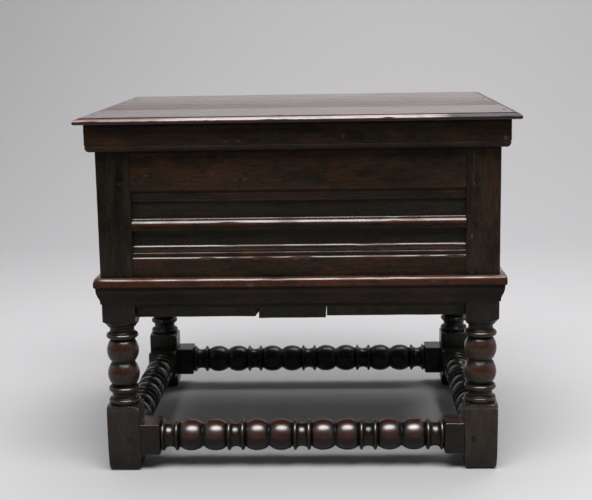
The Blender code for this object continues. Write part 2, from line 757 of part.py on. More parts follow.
def make_box(rigs, iron):
    frame_oak = make_material("frame_oak", (0.050, 0.027, 0.019), 0.38)
    panel_oak = make_material("panel_oak", (0.034, 0.022, 0.017), 0.45)
    turned_oak = make_material("turned_oak", (0.075, 0.034, 0.022), 0.28)
    moulding_oak = make_material("moulding_oak", (0.070, 0.034, 0.023), 0.30)
    board_oak = make_material("board_oak", (0.045, 0.030, 0.022), 0.65)
    peg_oak = make_material("peg_oak", (0.040, 0.024, 0.018), 0.40)
    for side, name in enumerate(SIDE_NAMES):
        pieces = [make_post(side, turned_oak)]
        pieces += [make_rail(side, tenon, frame_oak) for tenon in ("top_rail", "bottom_rail")]
        pieces.append(make_panel(side, panel_oak))
        pieces.append(make_stretcher(side, turned_oak))
        pieces += make_pegs(side, peg_oak)
        if side == 0:
            pieces.append(make_bar(moulding_oak))
            pieces += make_bottom_boards(board_oak)
        if side == 2:
            top_rail = next(piece for piece in pieces if piece.name == "back_top_rail")
            carve(top_rail, "DIFFERENCE", add_staple_holes)
            for hand, x in hinge_places().items():
                staple = make_piece(f"{hand}_hinge_staple", iron, lambda bm: add_staple(bm, x))
                shade_round(staple)
                pieces.append(staple)
        else:
            pieces.append(make_skirt(f"{name}_base_moulding", side, base_section(), moulding_oak))
        for piece in pieces:
            rigs[name].carry(piece, side_matrix(side))


def make_lid(rig, iron):
    lid_oak = make_material("lid_oak", (0.062, 0.033, 0.024), 0.30)
    rim_oak = make_material("rim_oak", (0.048, 0.027, 0.020), 0.36)
    joint = LID_JOINT - LID_OVERHANG
    front_board = make_lid_board("front_lid_board", -LID_OVERHANG, joint - FIT, True, lid_oak)
    back_board = make_lid_board("back_lid_board", joint, BOX_DEPTH + LID_BACK, False, lid_oak)
    carve(back_board, "DIFFERENCE", add_shank_holes)
    for board in (front_board, back_board):
        rig.carry(board, side_matrix(0))
    for side in (0, 1, 3):
        rim = make_skirt(f"{SIDE_NAMES[side]}_lid_rim", side, rim_section(), rim_oak)
        rig.carry(rim, side_matrix(side))
    for hand, x in hinge_places().items():
        eye = make_piece(f"{hand}_hinge_eye", iron, lambda bm: add_eye(bm, x))
        rig.carry(eye, side_matrix(2))


def main():
    for item in list(bpy.data.objects):
        bpy.data.objects.remove(item)
    rigs = {name: Rig(f"{name}_side", side_matrix(side)) for side, name in enumerate(SIDE_NAMES)}
    iron = make_material("iron", (0.030, 0.028, 0.027), 0.55, 0.9)
    make_box(rigs, iron)
    hinge_axis = side_matrix(0) @ Vector((BOX_WIDTH / 2, BOX_DEPTH + HINGE_OFFSET, LID_UNDER - HINGE_OFFSET))
    make_lid(Rig("lid_hinge", Matrix.Translation(hinge_axis)), iron)


main()
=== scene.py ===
from math import ceil, cos, exp, pi, radians, sin

import bmesh
import bpy
from mathutils import Matrix, Vector, noise


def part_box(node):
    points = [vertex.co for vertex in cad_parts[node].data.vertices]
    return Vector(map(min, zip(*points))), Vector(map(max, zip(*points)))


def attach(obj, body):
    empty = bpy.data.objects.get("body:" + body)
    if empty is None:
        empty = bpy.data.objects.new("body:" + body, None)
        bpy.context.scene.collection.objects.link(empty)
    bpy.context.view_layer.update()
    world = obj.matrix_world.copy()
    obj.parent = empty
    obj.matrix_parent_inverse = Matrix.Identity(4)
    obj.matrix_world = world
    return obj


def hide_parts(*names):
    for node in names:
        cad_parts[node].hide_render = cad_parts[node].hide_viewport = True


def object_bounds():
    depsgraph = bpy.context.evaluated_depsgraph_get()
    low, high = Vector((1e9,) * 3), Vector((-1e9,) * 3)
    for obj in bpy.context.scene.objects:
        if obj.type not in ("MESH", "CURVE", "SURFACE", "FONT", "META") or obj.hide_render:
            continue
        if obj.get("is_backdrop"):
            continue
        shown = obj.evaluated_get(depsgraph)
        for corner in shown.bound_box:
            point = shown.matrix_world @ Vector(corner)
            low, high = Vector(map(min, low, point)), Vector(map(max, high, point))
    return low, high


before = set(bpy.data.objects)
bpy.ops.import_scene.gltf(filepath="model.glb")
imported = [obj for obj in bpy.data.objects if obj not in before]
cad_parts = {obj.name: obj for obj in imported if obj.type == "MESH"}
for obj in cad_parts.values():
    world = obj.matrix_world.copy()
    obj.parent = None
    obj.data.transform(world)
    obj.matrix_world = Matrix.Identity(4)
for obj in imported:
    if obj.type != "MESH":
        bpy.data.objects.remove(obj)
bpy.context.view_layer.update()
scene = bpy.context.scene
print("frame loaded:", len(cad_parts), "nodes")

# main lines of the joined frame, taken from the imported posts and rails
postLow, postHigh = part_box("front_left_post")
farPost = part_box("back_right_post")[1]
post = postHigh.x - postLow.x
boxWidth = farPost.x - postLow.x
boxDepth = farPost.y - postLow.y
boxTop = postHigh.z
railBottom, panelLow = (corner.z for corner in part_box("front_bottom_rail"))
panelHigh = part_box("front_top_rail")[0].z
sideNames = ("front", "right", "back", "left")
fit = 0.0003  # play between neighbours


def sideFrame(side):  # x along the side, y inward from the outer faces, z up
    corners = ((postLow.x, postLow.y), (farPost.x, postLow.y), (farPost.x, farPost.y), (postLow.x, farPost.y))
    return Matrix.Translation((*corners[side], 0)) @ Matrix.Rotation(side * pi / 2, 4, "Z")


def sideLength(side):
    return boxDepth if side % 2 else boxWidth


def grainWay(side):
    return "y" if side % 2 else "x"


def ripple(point, scale, seed=0.0):
    return noise.noise(Vector(point) * scale + Vector((7.3, 3.1, 5.7)) * seed)


def smooth(low, high, value):
    share = min(max((value - low) / (high - low), 0), 1)
    return share * share * (3 - 2 * share)


# node helpers for the tree that was opened last; each value is a constant or a socket
workTree = None
socketKinds = {int: "Int", float: "Float", tuple: "Vector"}


def openTree(tree):
    global workTree
    workTree = tree
    return tree


def feed(value, socket):
    if isinstance(value, bpy.types.NodeSocket):
        workTree.links.new(value, socket)
    else:
        socket.default_value = value


def place(kind, values=None, **settings):  # values go to inputs by name or number
    node = workTree.nodes.new(kind)
    for key, value in settings.items():
        setattr(node, key, value)
    for key, value in (values or {}).items():
        named = (s for s in node.inputs if s.name == key and s.enabled)
        feed(value, node.inputs[key] if isinstance(key, int) else next(named))
    return node


def made(kind, values=None, **settings):  # the first output that the settings leave in use
    return next(s for s in place(kind, values, **settings).outputs if s.enabled)


def calc(operation, *values):
    return made("ShaderNodeMath", dict(enumerate(values)), operation=operation)


def times(first, second):
    return calc("MULTIPLY", first, second)


def timesPlus(first, second, added):
    return calc("MULTIPLY_ADD", first, second, added)


def vectorCalc(operation, *values):
    return made("ShaderNodeVectorMath", dict(enumerate(values)), operation=operation)


def joined(*parts):
    return made("ShaderNodeCombineXYZ", dict(enumerate(parts)))


def split(vector):
    return place("ShaderNodeSeparateXYZ", {0: vector}).outputs


def blendColours(share, first, second, how="MIX"):
    return made("ShaderNodeMix", {"Factor": share, "A": first, "B": second}, data_type="RGBA", blend_type=how)


def ramp(value, low, high, first=0.0, last=1.0):
    values = {"Value": value, "From Min": low, "From Max": high, "To Min": first, "To Max": last}
    return made("ShaderNodeMapRange", values, interpolation_type="SMOOTHSTEP")


def clouds(vector, scale, detail, output=0, roughness=0.5):
    values = {"Vector": vector, "Scale": scale, "Detail": detail, "Roughness": roughness}
    return place("ShaderNodeTexNoise", values).outputs[output]


def grainNoise(vector, stretch, detail=3.0, roughness=0.55):
    return clouds(vectorCalc("MULTIPLY", vector, stretch), 1.0, detail, 0, roughness)


def newTree(name, inputs, outputs=None):  # a shader group, or without named outputs a Geometry Nodes tree
    tree = openTree(bpy.data.node_groups.new(name, "ShaderNodeTree" if outputs else "GeometryNodeTree"))
    for way, sockets in (("INPUT", inputs), ("OUTPUT", outputs or {"Geometry": "Geometry"})):
        for label, value in sockets.items():  # a word is the socket's kind, anything else its first value
            kind = value if isinstance(value, str) else socketKinds[type(value)]
            socket = tree.interface.new_socket(label, in_out=way, socket_type="NodeSocket" + kind)
            if kind != value:
                socket.default_value = value
    return place("NodeGroupInput").outputs, place("NodeGroupOutput").inputs


def send(sockets, values):
    for label, value in values.items():
        feed(value, sockets[label])
    return workTree


# shader groups shared by the oak finishes
middle = (0.5, 0.5, 0.5)
drawnOut = (0.45, 1.0, 1.0)  # marks run longer with the grain


def buildFigure():  # oak grain; the vector's x runs with the grain
    outs = dict.fromkeys(("Bands", "Fibre", "Pores", "Flecks"), "Float")
    given, out = newTree("oakFigure", {"Vector": "Vector"}, outs)
    shift = vectorCalc("SUBTRACT", clouds(given["Vector"], 7.0, 2.0, "Color"), middle)
    small = vectorCalc("MULTIPLY", shift, (0.02, 0.016, 0.016))
    bent = vectorCalc("ADD", given["Vector"], small)
    speck = times(grainNoise(bent, (330.0, 620.0, 620.0), 2.0), 0.45)
    fibre = timesPlus(grainNoise(bent, (46.0, 360.0, 360.0), 4.0, 0.65), 0.55, speck)
    return send(out, {
        "Bands": ramp(grainNoise(bent, (7.0, 60.0, 60.0), 6.0, 0.68), 0.32, 0.68),
        "Fibre": ramp(fibre, 0.36, 0.64),
        "Pores": ramp(grainNoise(bent, (90.0, 820.0, 820.0), 1.0), 0.58, 0.70),
        "Flecks": ramp(grainNoise(bent, (150.0, 40.0, 420.0), 1.0), 0.66, 0.76)})


def buildWear():  # 0 is a hollow, 0.5 a flat, 1 a rubbed crest or arris; low and negative values also stand for painted shade
    outs = dict.fromkeys(("Crest", "Polish", "HollowAndShade", "Patch"), "Float")
    given, out = newTree("handWear", {"Rubbed": 0.5, "Vector": "Vector", "Scale": 24.0}, outs)
    drawn = vectorCalc("MULTIPLY", given["Vector"], drawnOut)
    patch = clouds(drawn, given["Scale"], 8.0, 0, 0.66)
    rubbed = calc("ADD", given["Rubbed"], timesPlus(patch, 0.5, -0.25))
    return send(out, {
        "Crest": ramp(rubbed, 0.62, 0.95),
        "Polish": ramp(rubbed, 0.56, 0.80),
        "HollowAndShade": ramp(rubbed, 0.08, 0.46, 1.0, 0.0),
        "Patch": ramp(patch, 0.34, 0.68)})


def buildWax():  # old wax: dull clouds, fine scratches, small dents
    outs = {"Cloud": "Float", "Knock": "Float", "Height": "Float", "Tint": "Color", "Stain": "Float"}
    given, out = newTree("oldWax", {"Vector": "Vector", "Fibre": "Float", "Pores": "Float"}, outs)
    spot = given["Vector"]
    ragged = vectorCalc("MULTIPLY", clouds(spot, 320.0, 2.0, "Color"), (0.02, 0.02, 0.02))
    drawn = vectorCalc("MULTIPLY", vectorCalc("ADD", spot, ragged), drawnOut)
    cells = place("ShaderNodeTexVoronoi", {"Vector": drawn, "Scale": 30.0}).outputs
    chance = split(cells["Color"])
    few = calc("GREATER_THAN", chance["X"], 0.55)
    knock = times(ramp(cells["Distance"], 0.05, 0.09, 1.0, 0.0), few)
    scratch = ramp(grainNoise(spot, (260.0, 1900.0, 34.0), 0.0), 0.74, 0.80)
    height = clouds(spot, 110.0, 3.0)
    for value, share in ((given["Fibre"], 0.45), (given["Pores"], -0.6), (scratch, -0.5), (knock, -0.8)):
        height = timesPlus(value, share, height)
    tint = ramp(grainNoise(spot, (75.0, 150.0, 150.0), 4.0, 0.7), 0.36, 0.64)
    return send(out, {
        "Cloud": ramp(grainNoise(spot, (11.0, 42.0, 42.0), 5.0), 0.3, 0.7),
        "Knock": times(knock, chance["Y"]),
        "Height": height,
        "Tint": blendColours(tint, (0.84, 1.05, 1.02, 1), (1.17, 0.96, 0.90, 1)),
        "Stain": ramp(grainNoise(spot, (13.0, 34.0, 34.0), 6.0, 0.62), 0.50, 0.68)})


def buildNick():  # one ragged pale mark at a place
    given, out = newTree("nickMark", dict.fromkeys(("Vector", "Place", "Reach"), "Vector"), {"Mark": "Float"})
    ragged = vectorCalc("SUBTRACT", clouds(given["Vector"], 420.0, 3.0, "Color"), middle)
    ragged = vectorCalc("MULTIPLY_ADD", ragged, (0.0065, 0.0065, 0.0065), given["Vector"])
    away = vectorCalc("DIVIDE", vectorCalc("SUBTRACT", ragged, given["Place"]), given["Reach"])
    return send(out, {"Mark": ramp(vectorCalc("LENGTH", away), 0.45, 1.0, 1.0, 0.0)})


oakFigure = buildFigure()
handWear = buildWear()
oldWax = buildWax()
nickMark = buildNick()

# finishes; each colour is linear, and wax is the coat's least and most weight
finishes = {
    "frame": {"dark": (0.0056, 0.0054, 0.0030), "mid": (0.0345, 0.0236, 0.0132), "red": (0.074, 0.0275, 0.0134),
              "rough": 0.42, "gloss": 0.17, "bump": 0.30, "redFlats": 0.55, "stain": 0.62, "knocks": 0.5,
              "wax": (0.06, 1.0), "film": 0.12, "shine": 1.9},
    "post": {"dark": (0.0038, 0.0042, 0.0027), "mid": (0.0300, 0.0235, 0.0145), "red": (0.047, 0.0182, 0.0120),
             "rough": 0.32, "gloss": 0.27, "bump": 0.22, "redFlats": 0.34, "stain": 0.68, "knocks": 0.5,
             "wax": (0.05, 1.0), "film": 0.18, "shine": 2.0},
    "warmPost": {"dark": (0.0058, 0.0058, 0.0036), "mid": (0.0420, 0.0312, 0.0196), "red": (0.066, 0.0260, 0.0155),
                 "rough": 0.32, "gloss": 0.26, "bump": 0.22, "redFlats": 0.5, "stain": 0.6, "knocks": 0.5,
                 "wax": (0.05, 1.0), "film": 0.18, "shine": 2.0},
    "turned": {"dark": (0.0032, 0.0032, 0.0023), "mid": (0.0110, 0.0096, 0.0072), "red": (0.068, 0.0195, 0.0118),
               "rough": 0.3, "gloss": 0.23, "bump": 0.12, "redFlats": 0.25, "stain": 0.35, "knocks": 0.1,
               "wax": (0.02, 1.0), "film": 0.30, "shine": 2.4},
    "inner": {"dark": (0.0092, 0.0108, 0.0088), "mid": (0.0225, 0.0232, 0.0184), "red": (0.028, 0.0220, 0.0160),
              "rough": 0.3, "gloss": 0.3, "bump": 0.12, "redFlats": 0.25, "stain": 0.3, "knocks": 0.1,
              "wax": (0.0, 0.32), "film": 0.26, "shine": 1.8},
    "moulding": {"dark": (0.0055, 0.0058, 0.0045), "mid": (0.0185, 0.0160, 0.0118), "red": (0.090, 0.0285, 0.0145),
                 "rough": 0.36, "gloss": 0.12, "bump": 0.22, "redFlats": 0.25, "stain": 0.45, "knocks": 0.3,
                 "wax": (0.02, 1.0), "film": 0.12, "shine": 1.95},
    "panel": {"dark": (0.0080, 0.0074, 0.0045), "mid": (0.0300, 0.0245, 0.0155), "red": (0.034, 0.0180, 0.0105),
              "rough": 0.46, "gloss": 0.18, "bump": 0.30, "redFlats": 0.22, "stain": 0.4, "knocks": 0.25,
              "wax": (0.0, 0.2), "film": 0.25, "shine": 1.5},
    "lid": {"dark": (0.0400, 0.0115, 0.0080), "mid": (0.0800, 0.0230, 0.0155), "red": (0.120, 0.0360, 0.0240),
            "rough": 0.31, "gloss": 0.50, "bump": 0.05, "redFlats": 0.60, "stain": 0.25, "knocks": 0.2,
            "wax": (0.76, 1.0), "film": 0.14, "shine": 1.85},
    "rim": {"dark": (0.0056, 0.0054, 0.0030), "mid": (0.0330, 0.0222, 0.0125), "red": (0.078, 0.0295, 0.0142),
            "rough": 0.42, "gloss": 0.16, "bump": 0.30, "redFlats": 0.55, "stain": 0.65, "knocks": 0.5,
            "wax": (0.05, 0.80), "film": 0.14, "shine": 1.6},
    "board": {"dark": (0.0200, 0.0187, 0.0143), "mid": (0.0520, 0.0490, 0.0380), "red": (0.058, 0.0460, 0.0340),
              "rough": 0.66, "gloss": 0.15, "bump": 0.55, "redFlats": 0.35, "stain": 0.5, "knocks": 0.3,
              "wax": (0.0, 0.0), "film": 0.40, "shine": 1.5},
}
# the grime colour serves hollows and painted shade alike; the near black is for painted shadow lines; knocks and nicks
# are pale marks
blemish = {"grime": (0.0042, 0.0036, 0.0032), "soot": (0.0008, 0.0008, 0.0008), "knock": (0.16, 0.135, 0.12),
           "nick": (0.085, 0.076, 0.068), "nickDeep": 0.01}
nicks = {  # the larger knocks: the face's y, then x, z, half width and half height of each
    "rim": (-0.2115, (-0.0854, 0.4232, 0.0036, 0.0014), (-0.0708, 0.4242, 0.0022, 0.0016),
            (0.0565, 0.4285, 0.0022, 0.0034), (0.2523, 0.4234, 0.0030, 0.0045)),
    "frame": (-0.2000, (-0.0956, 0.4039, 0.0032, 0.0014), (-0.0754, 0.3765, 0.0022, 0.0014),
              (-0.0643, 0.3763, 0.0042, 0.0012), (-0.1888, 0.3816, 0.0048, 0.0014), (0.1427, 0.3515, 0.0040, 0.0016)),
    "post": (-0.2000, (-0.2202, 0.3721, 0.0050, 0.0016), (-0.2189, 0.2562, 0.0040, 0.0012)),
    "warmPost": (-0.2000, (0.2154, 0.4034, 0.0011, 0.0060), (0.2158, 0.3690, 0.0011, 0.0070),
                 (0.2139, 0.3022, 0.0010, 0.0050), (0.2143, 0.2570, 0.0042, 0.0012)),
    "moulding": (-0.2095, (-0.0606, 0.2452, 0.0060, 0.0026), (0.1668, 0.2481, 0.0050, 0.0018)),
}
turns = {"x": (0, 0, 0), "y": (0, 0, pi / 2), "z": (0, pi / 2, 0)}


def newMaterial(name):
    material = bpy.data.materials.new(name)
    material.use_nodes = True
    return material, openTree(material.node_tree).nodes["Principled BSDF"]


def makeOak(finish, along):
    look = finishes[finish]
    material, shader = newMaterial(f"{finish}Oak{along.upper()}")
    spot = place("ShaderNodeTexCoord").outputs["Object"]
    grain = made("ShaderNodeMapping", {"Vector": spot, "Rotation": turns[along]})
    rubbed, bare = (place("ShaderNodeAttribute", attribute_name=label).outputs["Fac"]
                    for label in ("rubbed", "dulled"))
    figure = place("ShaderNodeGroup", {"Vector": grain}, node_tree=oakFigure).outputs
    wear = place("ShaderNodeGroup", {"Rubbed": rubbed, "Vector": grain}, node_tree=handWear).outputs
    waxInputs = {"Vector": grain, "Fibre": figure["Fibre"], "Pores": figure["Pores"]}
    wax = place("ShaderNodeGroup", waxInputs, node_tree=oldWax).outputs
    mixed = timesPlus(figure["Fibre"], 0.55, times(figure["Bands"], 0.45))
    colour = blendColours(mixed, (*look["dark"], 1), (*look["mid"], 1))
    grainy = timesPlus(figure["Fibre"], 0.6, 0.4)
    layers = [  # mask, strength and colour, each over the one before
        (times(wear["Patch"], look["redFlats"]), grainy, look["red"]),
        (wear["Crest"], 0.85, look["red"]),
        # grime in hollows, and painted shade where the rubbed value is low
        (wear["HollowAndShade"], 0.85, blemish["grime"]),
        (figure["Pores"], 0.70, blemish["grime"]),
        (figure["Flecks"], 0.25, [c * 1.8 for c in look["mid"]]),
        (wax["Knock"], look["knocks"], blemish["knock"])]
    face, *places = nicks.get(finish, (0.0,))
    for x, z, wide, tall in places:
        values = {"Vector": spot, "Place": (x, face, z), "Reach": (wide, blemish["nickDeep"], tall)}
        layers.append((made("ShaderNodeGroup", values, node_tree=nickMark), 0.65, blemish["nick"]))
    layers.append((wax["Stain"], look["stain"], look["dark"]))
    for mask, strength, paint in layers:
        colour = blendColours(times(mask, strength), colour, (*paint, 1))
    colour = blendColours(1.0, colour, wax["Tint"], "MULTIPLY")
    # painted shadow: values under zero (under the rim, under the lid's edge, along the rails' bottom edges, on faces
    # that look down) are painted near black
    colour = blendColours(ramp(rubbed, -0.8, -0.1, 1.0, 0.0), colour, (*blemish["soot"], 1))
    rough = look["rough"] - 0.07
    for value, share in ((wax["Cloud"], 0.14), (wear["HollowAndShade"], 0.16), (wear["Polish"], -0.06)):
        rough = timesPlus(value, share, rough)
    low, high = look["wax"]
    polish = times(wear["Polish"], timesPlus(wax["Cloud"], 0.3, 0.7))
    coat = times(timesPlus(polish, high - low, low), calc("SUBTRACT", 1.0, bare))
    bump = {"Strength": look["bump"], "Distance": 0.0007, "Height": wax["Height"]}
    send(shader.inputs, {
        "Base Color": colour, "Roughness": rough, "Normal": made("ShaderNodeBump", bump), "Coat Weight": coat,
        "Coat Roughness": look["film"], "Coat IOR": look["shine"], "Specular IOR Level": look["gloss"]})
    return material


oakWays = {"frame": "xy", "post": "z", "warmPost": "z", "turned": "x", "inner": "xyz", "moulding": "xy",
           "panel": "xy", "lid": "x", "rim": "xy", "board": "y"}
oak = {(finish, along): makeOak(finish, along) for finish, ways in oakWays.items() for along in ways}


def makePlain(name, first, second, scale, rough, metal=0.0, bump=0.3):
    material, shader = newMaterial(name)
    speck = clouds(place("ShaderNodeTexCoord").outputs["Object"], scale, 5.0)
    share = ramp(speck, 0.35, 0.65)
    lift = made("ShaderNodeBump", {"Strength": bump, "Distance": 0.0006, "Height": speck})
    send(shader.inputs, {
        "Base Color": blendColours(share, (*first, 1), (*second, 1)), "Normal": lift, "Metallic": metal,
        "Roughness": timesPlus(share, 0.2, rough - 0.1), "Specular IOR Level": 0.2})
    return material


pegOak = makePlain("pegOak", (0.010, 0.0066, 0.005), (0.034, 0.019, 0.013), 900.0, 0.42)
wornIron = makePlain("wornIron", (0.012, 0.010, 0.009), (0.045, 0.032, 0.025), 420.0, 0.55, 0.7, 0.5)
oldGrime = makePlain("oldGrime", (0.003, 0.0026, 0.0023), (0.007, 0.006, 0.005), 600.0, 0.7)
print("materials:", len(bpy.data.materials))


# making pieces
def addObject(name, data):
    added = bpy.data.objects.new(name, data)
    scene.collection.objects.link(added)
    return added


def plainMesh(name, points, edges=(), faces=()):
    mesh = bpy.data.meshes.new(name)
    mesh.from_pydata(points, edges, faces)
    return mesh


def finishPiece(node, mesh, body, material=None, sharp=38, nodes=None):  # named after its node
    first, *words = node.split("_")
    name = first + "".join(word.title() for word in words)
    mesh.name = name
    piece = addObject(name, mesh)
    if material:
        mesh.materials.clear()
        mesh.materials.append(material)
    mesh.shade_smooth()
    mesh.set_sharp_from_angle(angle=radians(sharp))
    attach(piece, body)
    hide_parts(*([node] if nodes is None else nodes))


def setMarks(mesh, **marks):  # one number for each point
    for label, values in marks.items():
        mesh.attributes.new(label, "FLOAT", "POINT").data.foreach_set("value", values)


def meshFrom(points, faces, rubbed, dulled=None):
    mesh = plainMesh("shape", points, faces=faces)
    setMarks(mesh, rubbed=rubbed, dulled=dulled or [0.0] * len(points))
    work = bmesh.new()
    work.from_mesh(mesh)
    bmesh.ops.recalc_face_normals(work, faces=work.faces)
    work.to_mesh(mesh)
    work.free()
    return mesh


def runTree(tree, mesh, settings):  # the tree's result on a mesh, as a plain mesh
    carrier = addObject("carrier", mesh)
    modifier = carrier.modifiers.new("work", "NODES")
    modifier.node_group = tree
    names = {item.name: item.identifier for item in tree.interface.items_tree if item.in_out == "INPUT"}
    for label, value in settings.items():
        modifier[names[label]] = value
    result = bpy.data.meshes.new_from_object(carrier.evaluated_get(bpy.context.evaluated_depsgraph_get()))
    carrier.modifiers.clear()
    bpy.data.objects.remove(carrier)
    return result


def attribute(label, kind="FLOAT"):
    return made("GeometryNodeInputNamedAttribute", {"Name": label}, data_type=kind)


def storeMark(shape, label, value):
    values = {"Geometry": shape, "Name": label, "Value": value}
    return made("GeometryNodeStoreNamedAttribute", values, data_type="FLOAT", domain="POINT")


def inFinish(shape, finish):
    return made("GeometryNodeSetMaterial", {"Geometry": shape, "Material": finish})


def realized(shape):
    return made("GeometryNodeRealizeInstances", {0: shape})


# turned work: each ring of a tube takes its radius from a profile and is cut square by the blank
def buildTurned():
    given, out = newTree("turnedWork", {
        "Profile": "Geometry", "Facets": 96, "Corner Power": 34.0, "Wobble": 0.0002, "Wobble Scale": 30.0, "Seed": 0.0,
        "Up": (0.0, 0.0, 1.0), "Top Dull": 0.0, "Finish": "Material"})
    profile = given["Profile"]
    size = place("GeometryNodeAttributeDomainSize", {"Geometry": profile}, component="MESH").outputs
    steps = calc("SUBTRACT", size["Point Count"], 1.0)
    segments = {"Vertices": given["Facets"], "Side Segments": steps, "Fill Segments": 1, "Radius": 1.0, "Depth": steps}
    tube = made("GeometryNodeMeshCylinder", segments, fill_type="NGON")
    where = split(made("GeometryNodeInputPosition"))
    row = calc("ROUND", timesPlus(steps, 0.5, where["Z"]))

    def sampled(kind, field):
        values = {"Geometry": profile, "Value": field, "Index": row}
        return place("GeometryNodeSampleIndex", values, data_type=kind, domain="POINT").outputs["Value"]

    def stored(label):
        return sampled("FLOAT", attribute(label))

    def turnedOut(reach, height):
        return joined(times(reach, cosine), times(reach, sine), height)

    line = split(sampled("FLOAT_VECTOR", made("GeometryNodeInputPosition")))
    # facets crowd towards the corners of the square
    turn = calc("ARCTAN2", where["Y"], where["X"])
    face = times(calc("ROUND", calc("DIVIDE", turn, pi / 2)), pi / 2)
    swing = calc("SINE", times(calc("SUBTRACT", turn, face), 2.0))
    angle = timesPlus(swing, pi / 4, face)
    cosine = calc("COSINE", angle)
    sine = calc("SINE", angle)
    power = given["Corner Power"]
    total = calc("ADD", *(calc("POWER", calc("ABSOLUTE", way), power) for way in (cosine, sine)))
    square = calc("POWER", total, calc("DIVIDE", 1.0, power))
    square = calc("DIVIDE", stored("squareHalf"), square)
    radius = calc("MINIMUM", line["X"], square)
    isSquare = calc("LESS_THAN", square, line["X"])
    rough = turnedOut(radius, calc("ADD", line["Z"], given["Seed"]))
    uneven = calc("SUBTRACT", clouds(rough, given["Wobble Scale"], 2.0), 0.5)
    radius = timesPlus(uneven, times(given["Wobble"], 2.0), radius)
    spot = turnedOut(radius, line["Z"])
    diagonal = calc("ABSOLUTE", calc("SINE", times(angle, 2.0)))
    rubbed = timesPlus(isSquare, ramp(diagonal, 0.990, 1.0, 0.0, 0.12), stored("rubbed"))
    # the mark is stored first, as the rows are counted on the unshaped tube
    marked = storeMark(tube, "rubbed", rubbed)
    shaped = made("GeometryNodeSetPosition", {"Geometry": marked, "Position": spot})
    # sides that face down are less rubbed, which paints them darker as shade as well as less worn, and polish stays on
    # the sides that face up
    lift = vectorCalc("DOT_PRODUCT", made("GeometryNodeInputNormal"), given["Up"])
    worn = calc("SUBTRACT", attribute("rubbed"), ramp(lift, -0.14, 0.20, 0.40, 0.0))
    topDull = times(ramp(lift, 0.78, 0.96), given["Top Dull"])
    dull = calc("MAXIMUM", ramp(lift, 0.12, 0.42, 1.0, 0.0), topDull)
    for label, value in (("rubbed", worn), ("dulled", dull)):
        shaped = storeMark(shaped, label, value)
    return send(out, {"Geometry": inFinish(realized(shaped), given["Finish"])})


turnedWork = buildTurned()
noLimit = 0.05  # a radius beyond the square, which leaves the blank square


def bead(start, length, low, high, spread, steps, ends, crest):  # with high under low it is a cove
    rows = []
    angleEnd = radians(spread)
    for i in range(steps + 1):
        angle = angleEnd * (2 * i / steps - 1)
        rise = (cos(angle) - cos(angleEnd)) / (1 - cos(angleEnd))
        along = start + length * (1 + sin(angle) / sin(angleEnd)) / 2
        rows.append((along, low + (high - low) * rise, ends + (crest - ends) * max(rise, 0.0) ** 0.4))
    return rows


def squareRun(start, end, step, rub=0.75):  # upright faces lose a part of the mark in the tree, top faces keep it, which paints upright and downward faces darker as shade
    count = max(2, round((end - start) / step))
    return [(start + (end - start) * i / count, noLimit, rub) for i in range(count + 1)]


def turnedPiece(node, shape, rows, squareAt, lie, settings):  # rows of (along, radius, rubbed)
    links = [(i, i + 1) for i in range(len(rows) - 1)]
    profile = plainMesh("profile", [(radius, 0, along) for along, radius, _ in rows], links)
    setMarks(profile, squareHalf=[squareAt(along) for along, _, _ in rows], rubbed=[rub for _, _, rub in rows])
    shared = {"Facets": shape["facets"], "Corner Power": shape["corner"], "Wobble": shape["wobble"],
              "Wobble Scale": shape["wobbleScale"]}
    mesh = runTree(turnedWork, profile, {**shared, **settings})
    mesh.transform(lie)
    finishPiece(node, mesh, "box")


# painted shadow: a near-black line under the lid's rim, on the rails and the front posts
shade = {"low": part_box("front_lid_rim")[0].z, "deep": 0.0034, "full": 0.0008, "above": 0.0010, "end": 0.0030}


def shaded(z, x):
    low = shade["low"]
    start = low - shade["deep"] * (0.85 + 0.4 * ripple((x, 0, 0), 60.0, 2.0))
    return smooth(start, low - shade["full"], z) * (1 - smooth(low + shade["above"], low + shade["end"], z))


# four posts, each foot, turned leg and corner post in one length
leg = {
    "facets": 128, "corner": 36.0, "wobble": 0.00022, "wobbleScale": 34.0,
    # rubbed values: flats of each post, the block under the base moulding, painted darker as shade under the moulding,
    # and what the foot has less
    "flats": (0.72, 0.80, 0.77, 0.72), "block": 0.50, "footDirt": 0.10,
    "footFace": 0.036, "footTop": 0.0818, "blockBottom": 0.1968, "blockTop": 0.2200, "step": 0.008,
    # start and length of each turned member, then the radii
    "footRing": (0.0864, 0.0068), "lowerCove": (0.0932, 0.0080), "lowerRing": (0.1018, 0.0072),
    "lowerBall": (0.1103, 0.0297), "upperBall": (0.1410, 0.0297),
    "upperRing": (0.1720, 0.0072), "upperCove": (0.1796, 0.0078),
    "ball": 0.0204, "neck": 0.0147, "cove": 0.0154, "fillet": 0.0169,
    # spread in degrees, steps, and the rubbed values of ends and crest
    "footRingShape": (78, 12, 0.1, 0.84), "ringShape": (80, 12, 0.1, 0.84),
    "coveShape": (60, 10, 0.2, 0.42), "ballShape": (46, 20, 0.0, 1.0),
    "footShoulder": ((0.0818, 0.0296), (0.0827, 0.0288), (0.0836, 0.0275), (0.0844, 0.0259),
                     (0.0850, 0.0241), (0.0855, 0.0222), (0.0859, 0.0203), (0.0861, 0.0188)),
    "blockFillet": ((0.1877, 0.0172, 0.4), (0.1881, 0.0184, 1.0), (0.1890, 0.0187, 1.0),
                    (0.1896, 0.0184, 0.8), (0.1898, 0.0178, 0.0)),
    "blockShoulder": ((0.1900, 0.0188), (0.1908, 0.0202), (0.1917, 0.0213), (0.1927, 0.0222), (0.1937, 0.0233),
                      (0.1947, 0.0249), (0.1955, 0.0266), (0.1962, 0.0282), (0.1968, 0.0296)),
    # height and how much narrower the worn foot is there
    "wornFoot": ((0.0, 0.0058), (0.0005, 0.0043), (0.0012, 0.0031), (0.0024, 0.0020),
                 (0.0042, 0.0012), (0.0075, 0.0008), (0.014, 0.0004), (0.026, 0.0)),
}


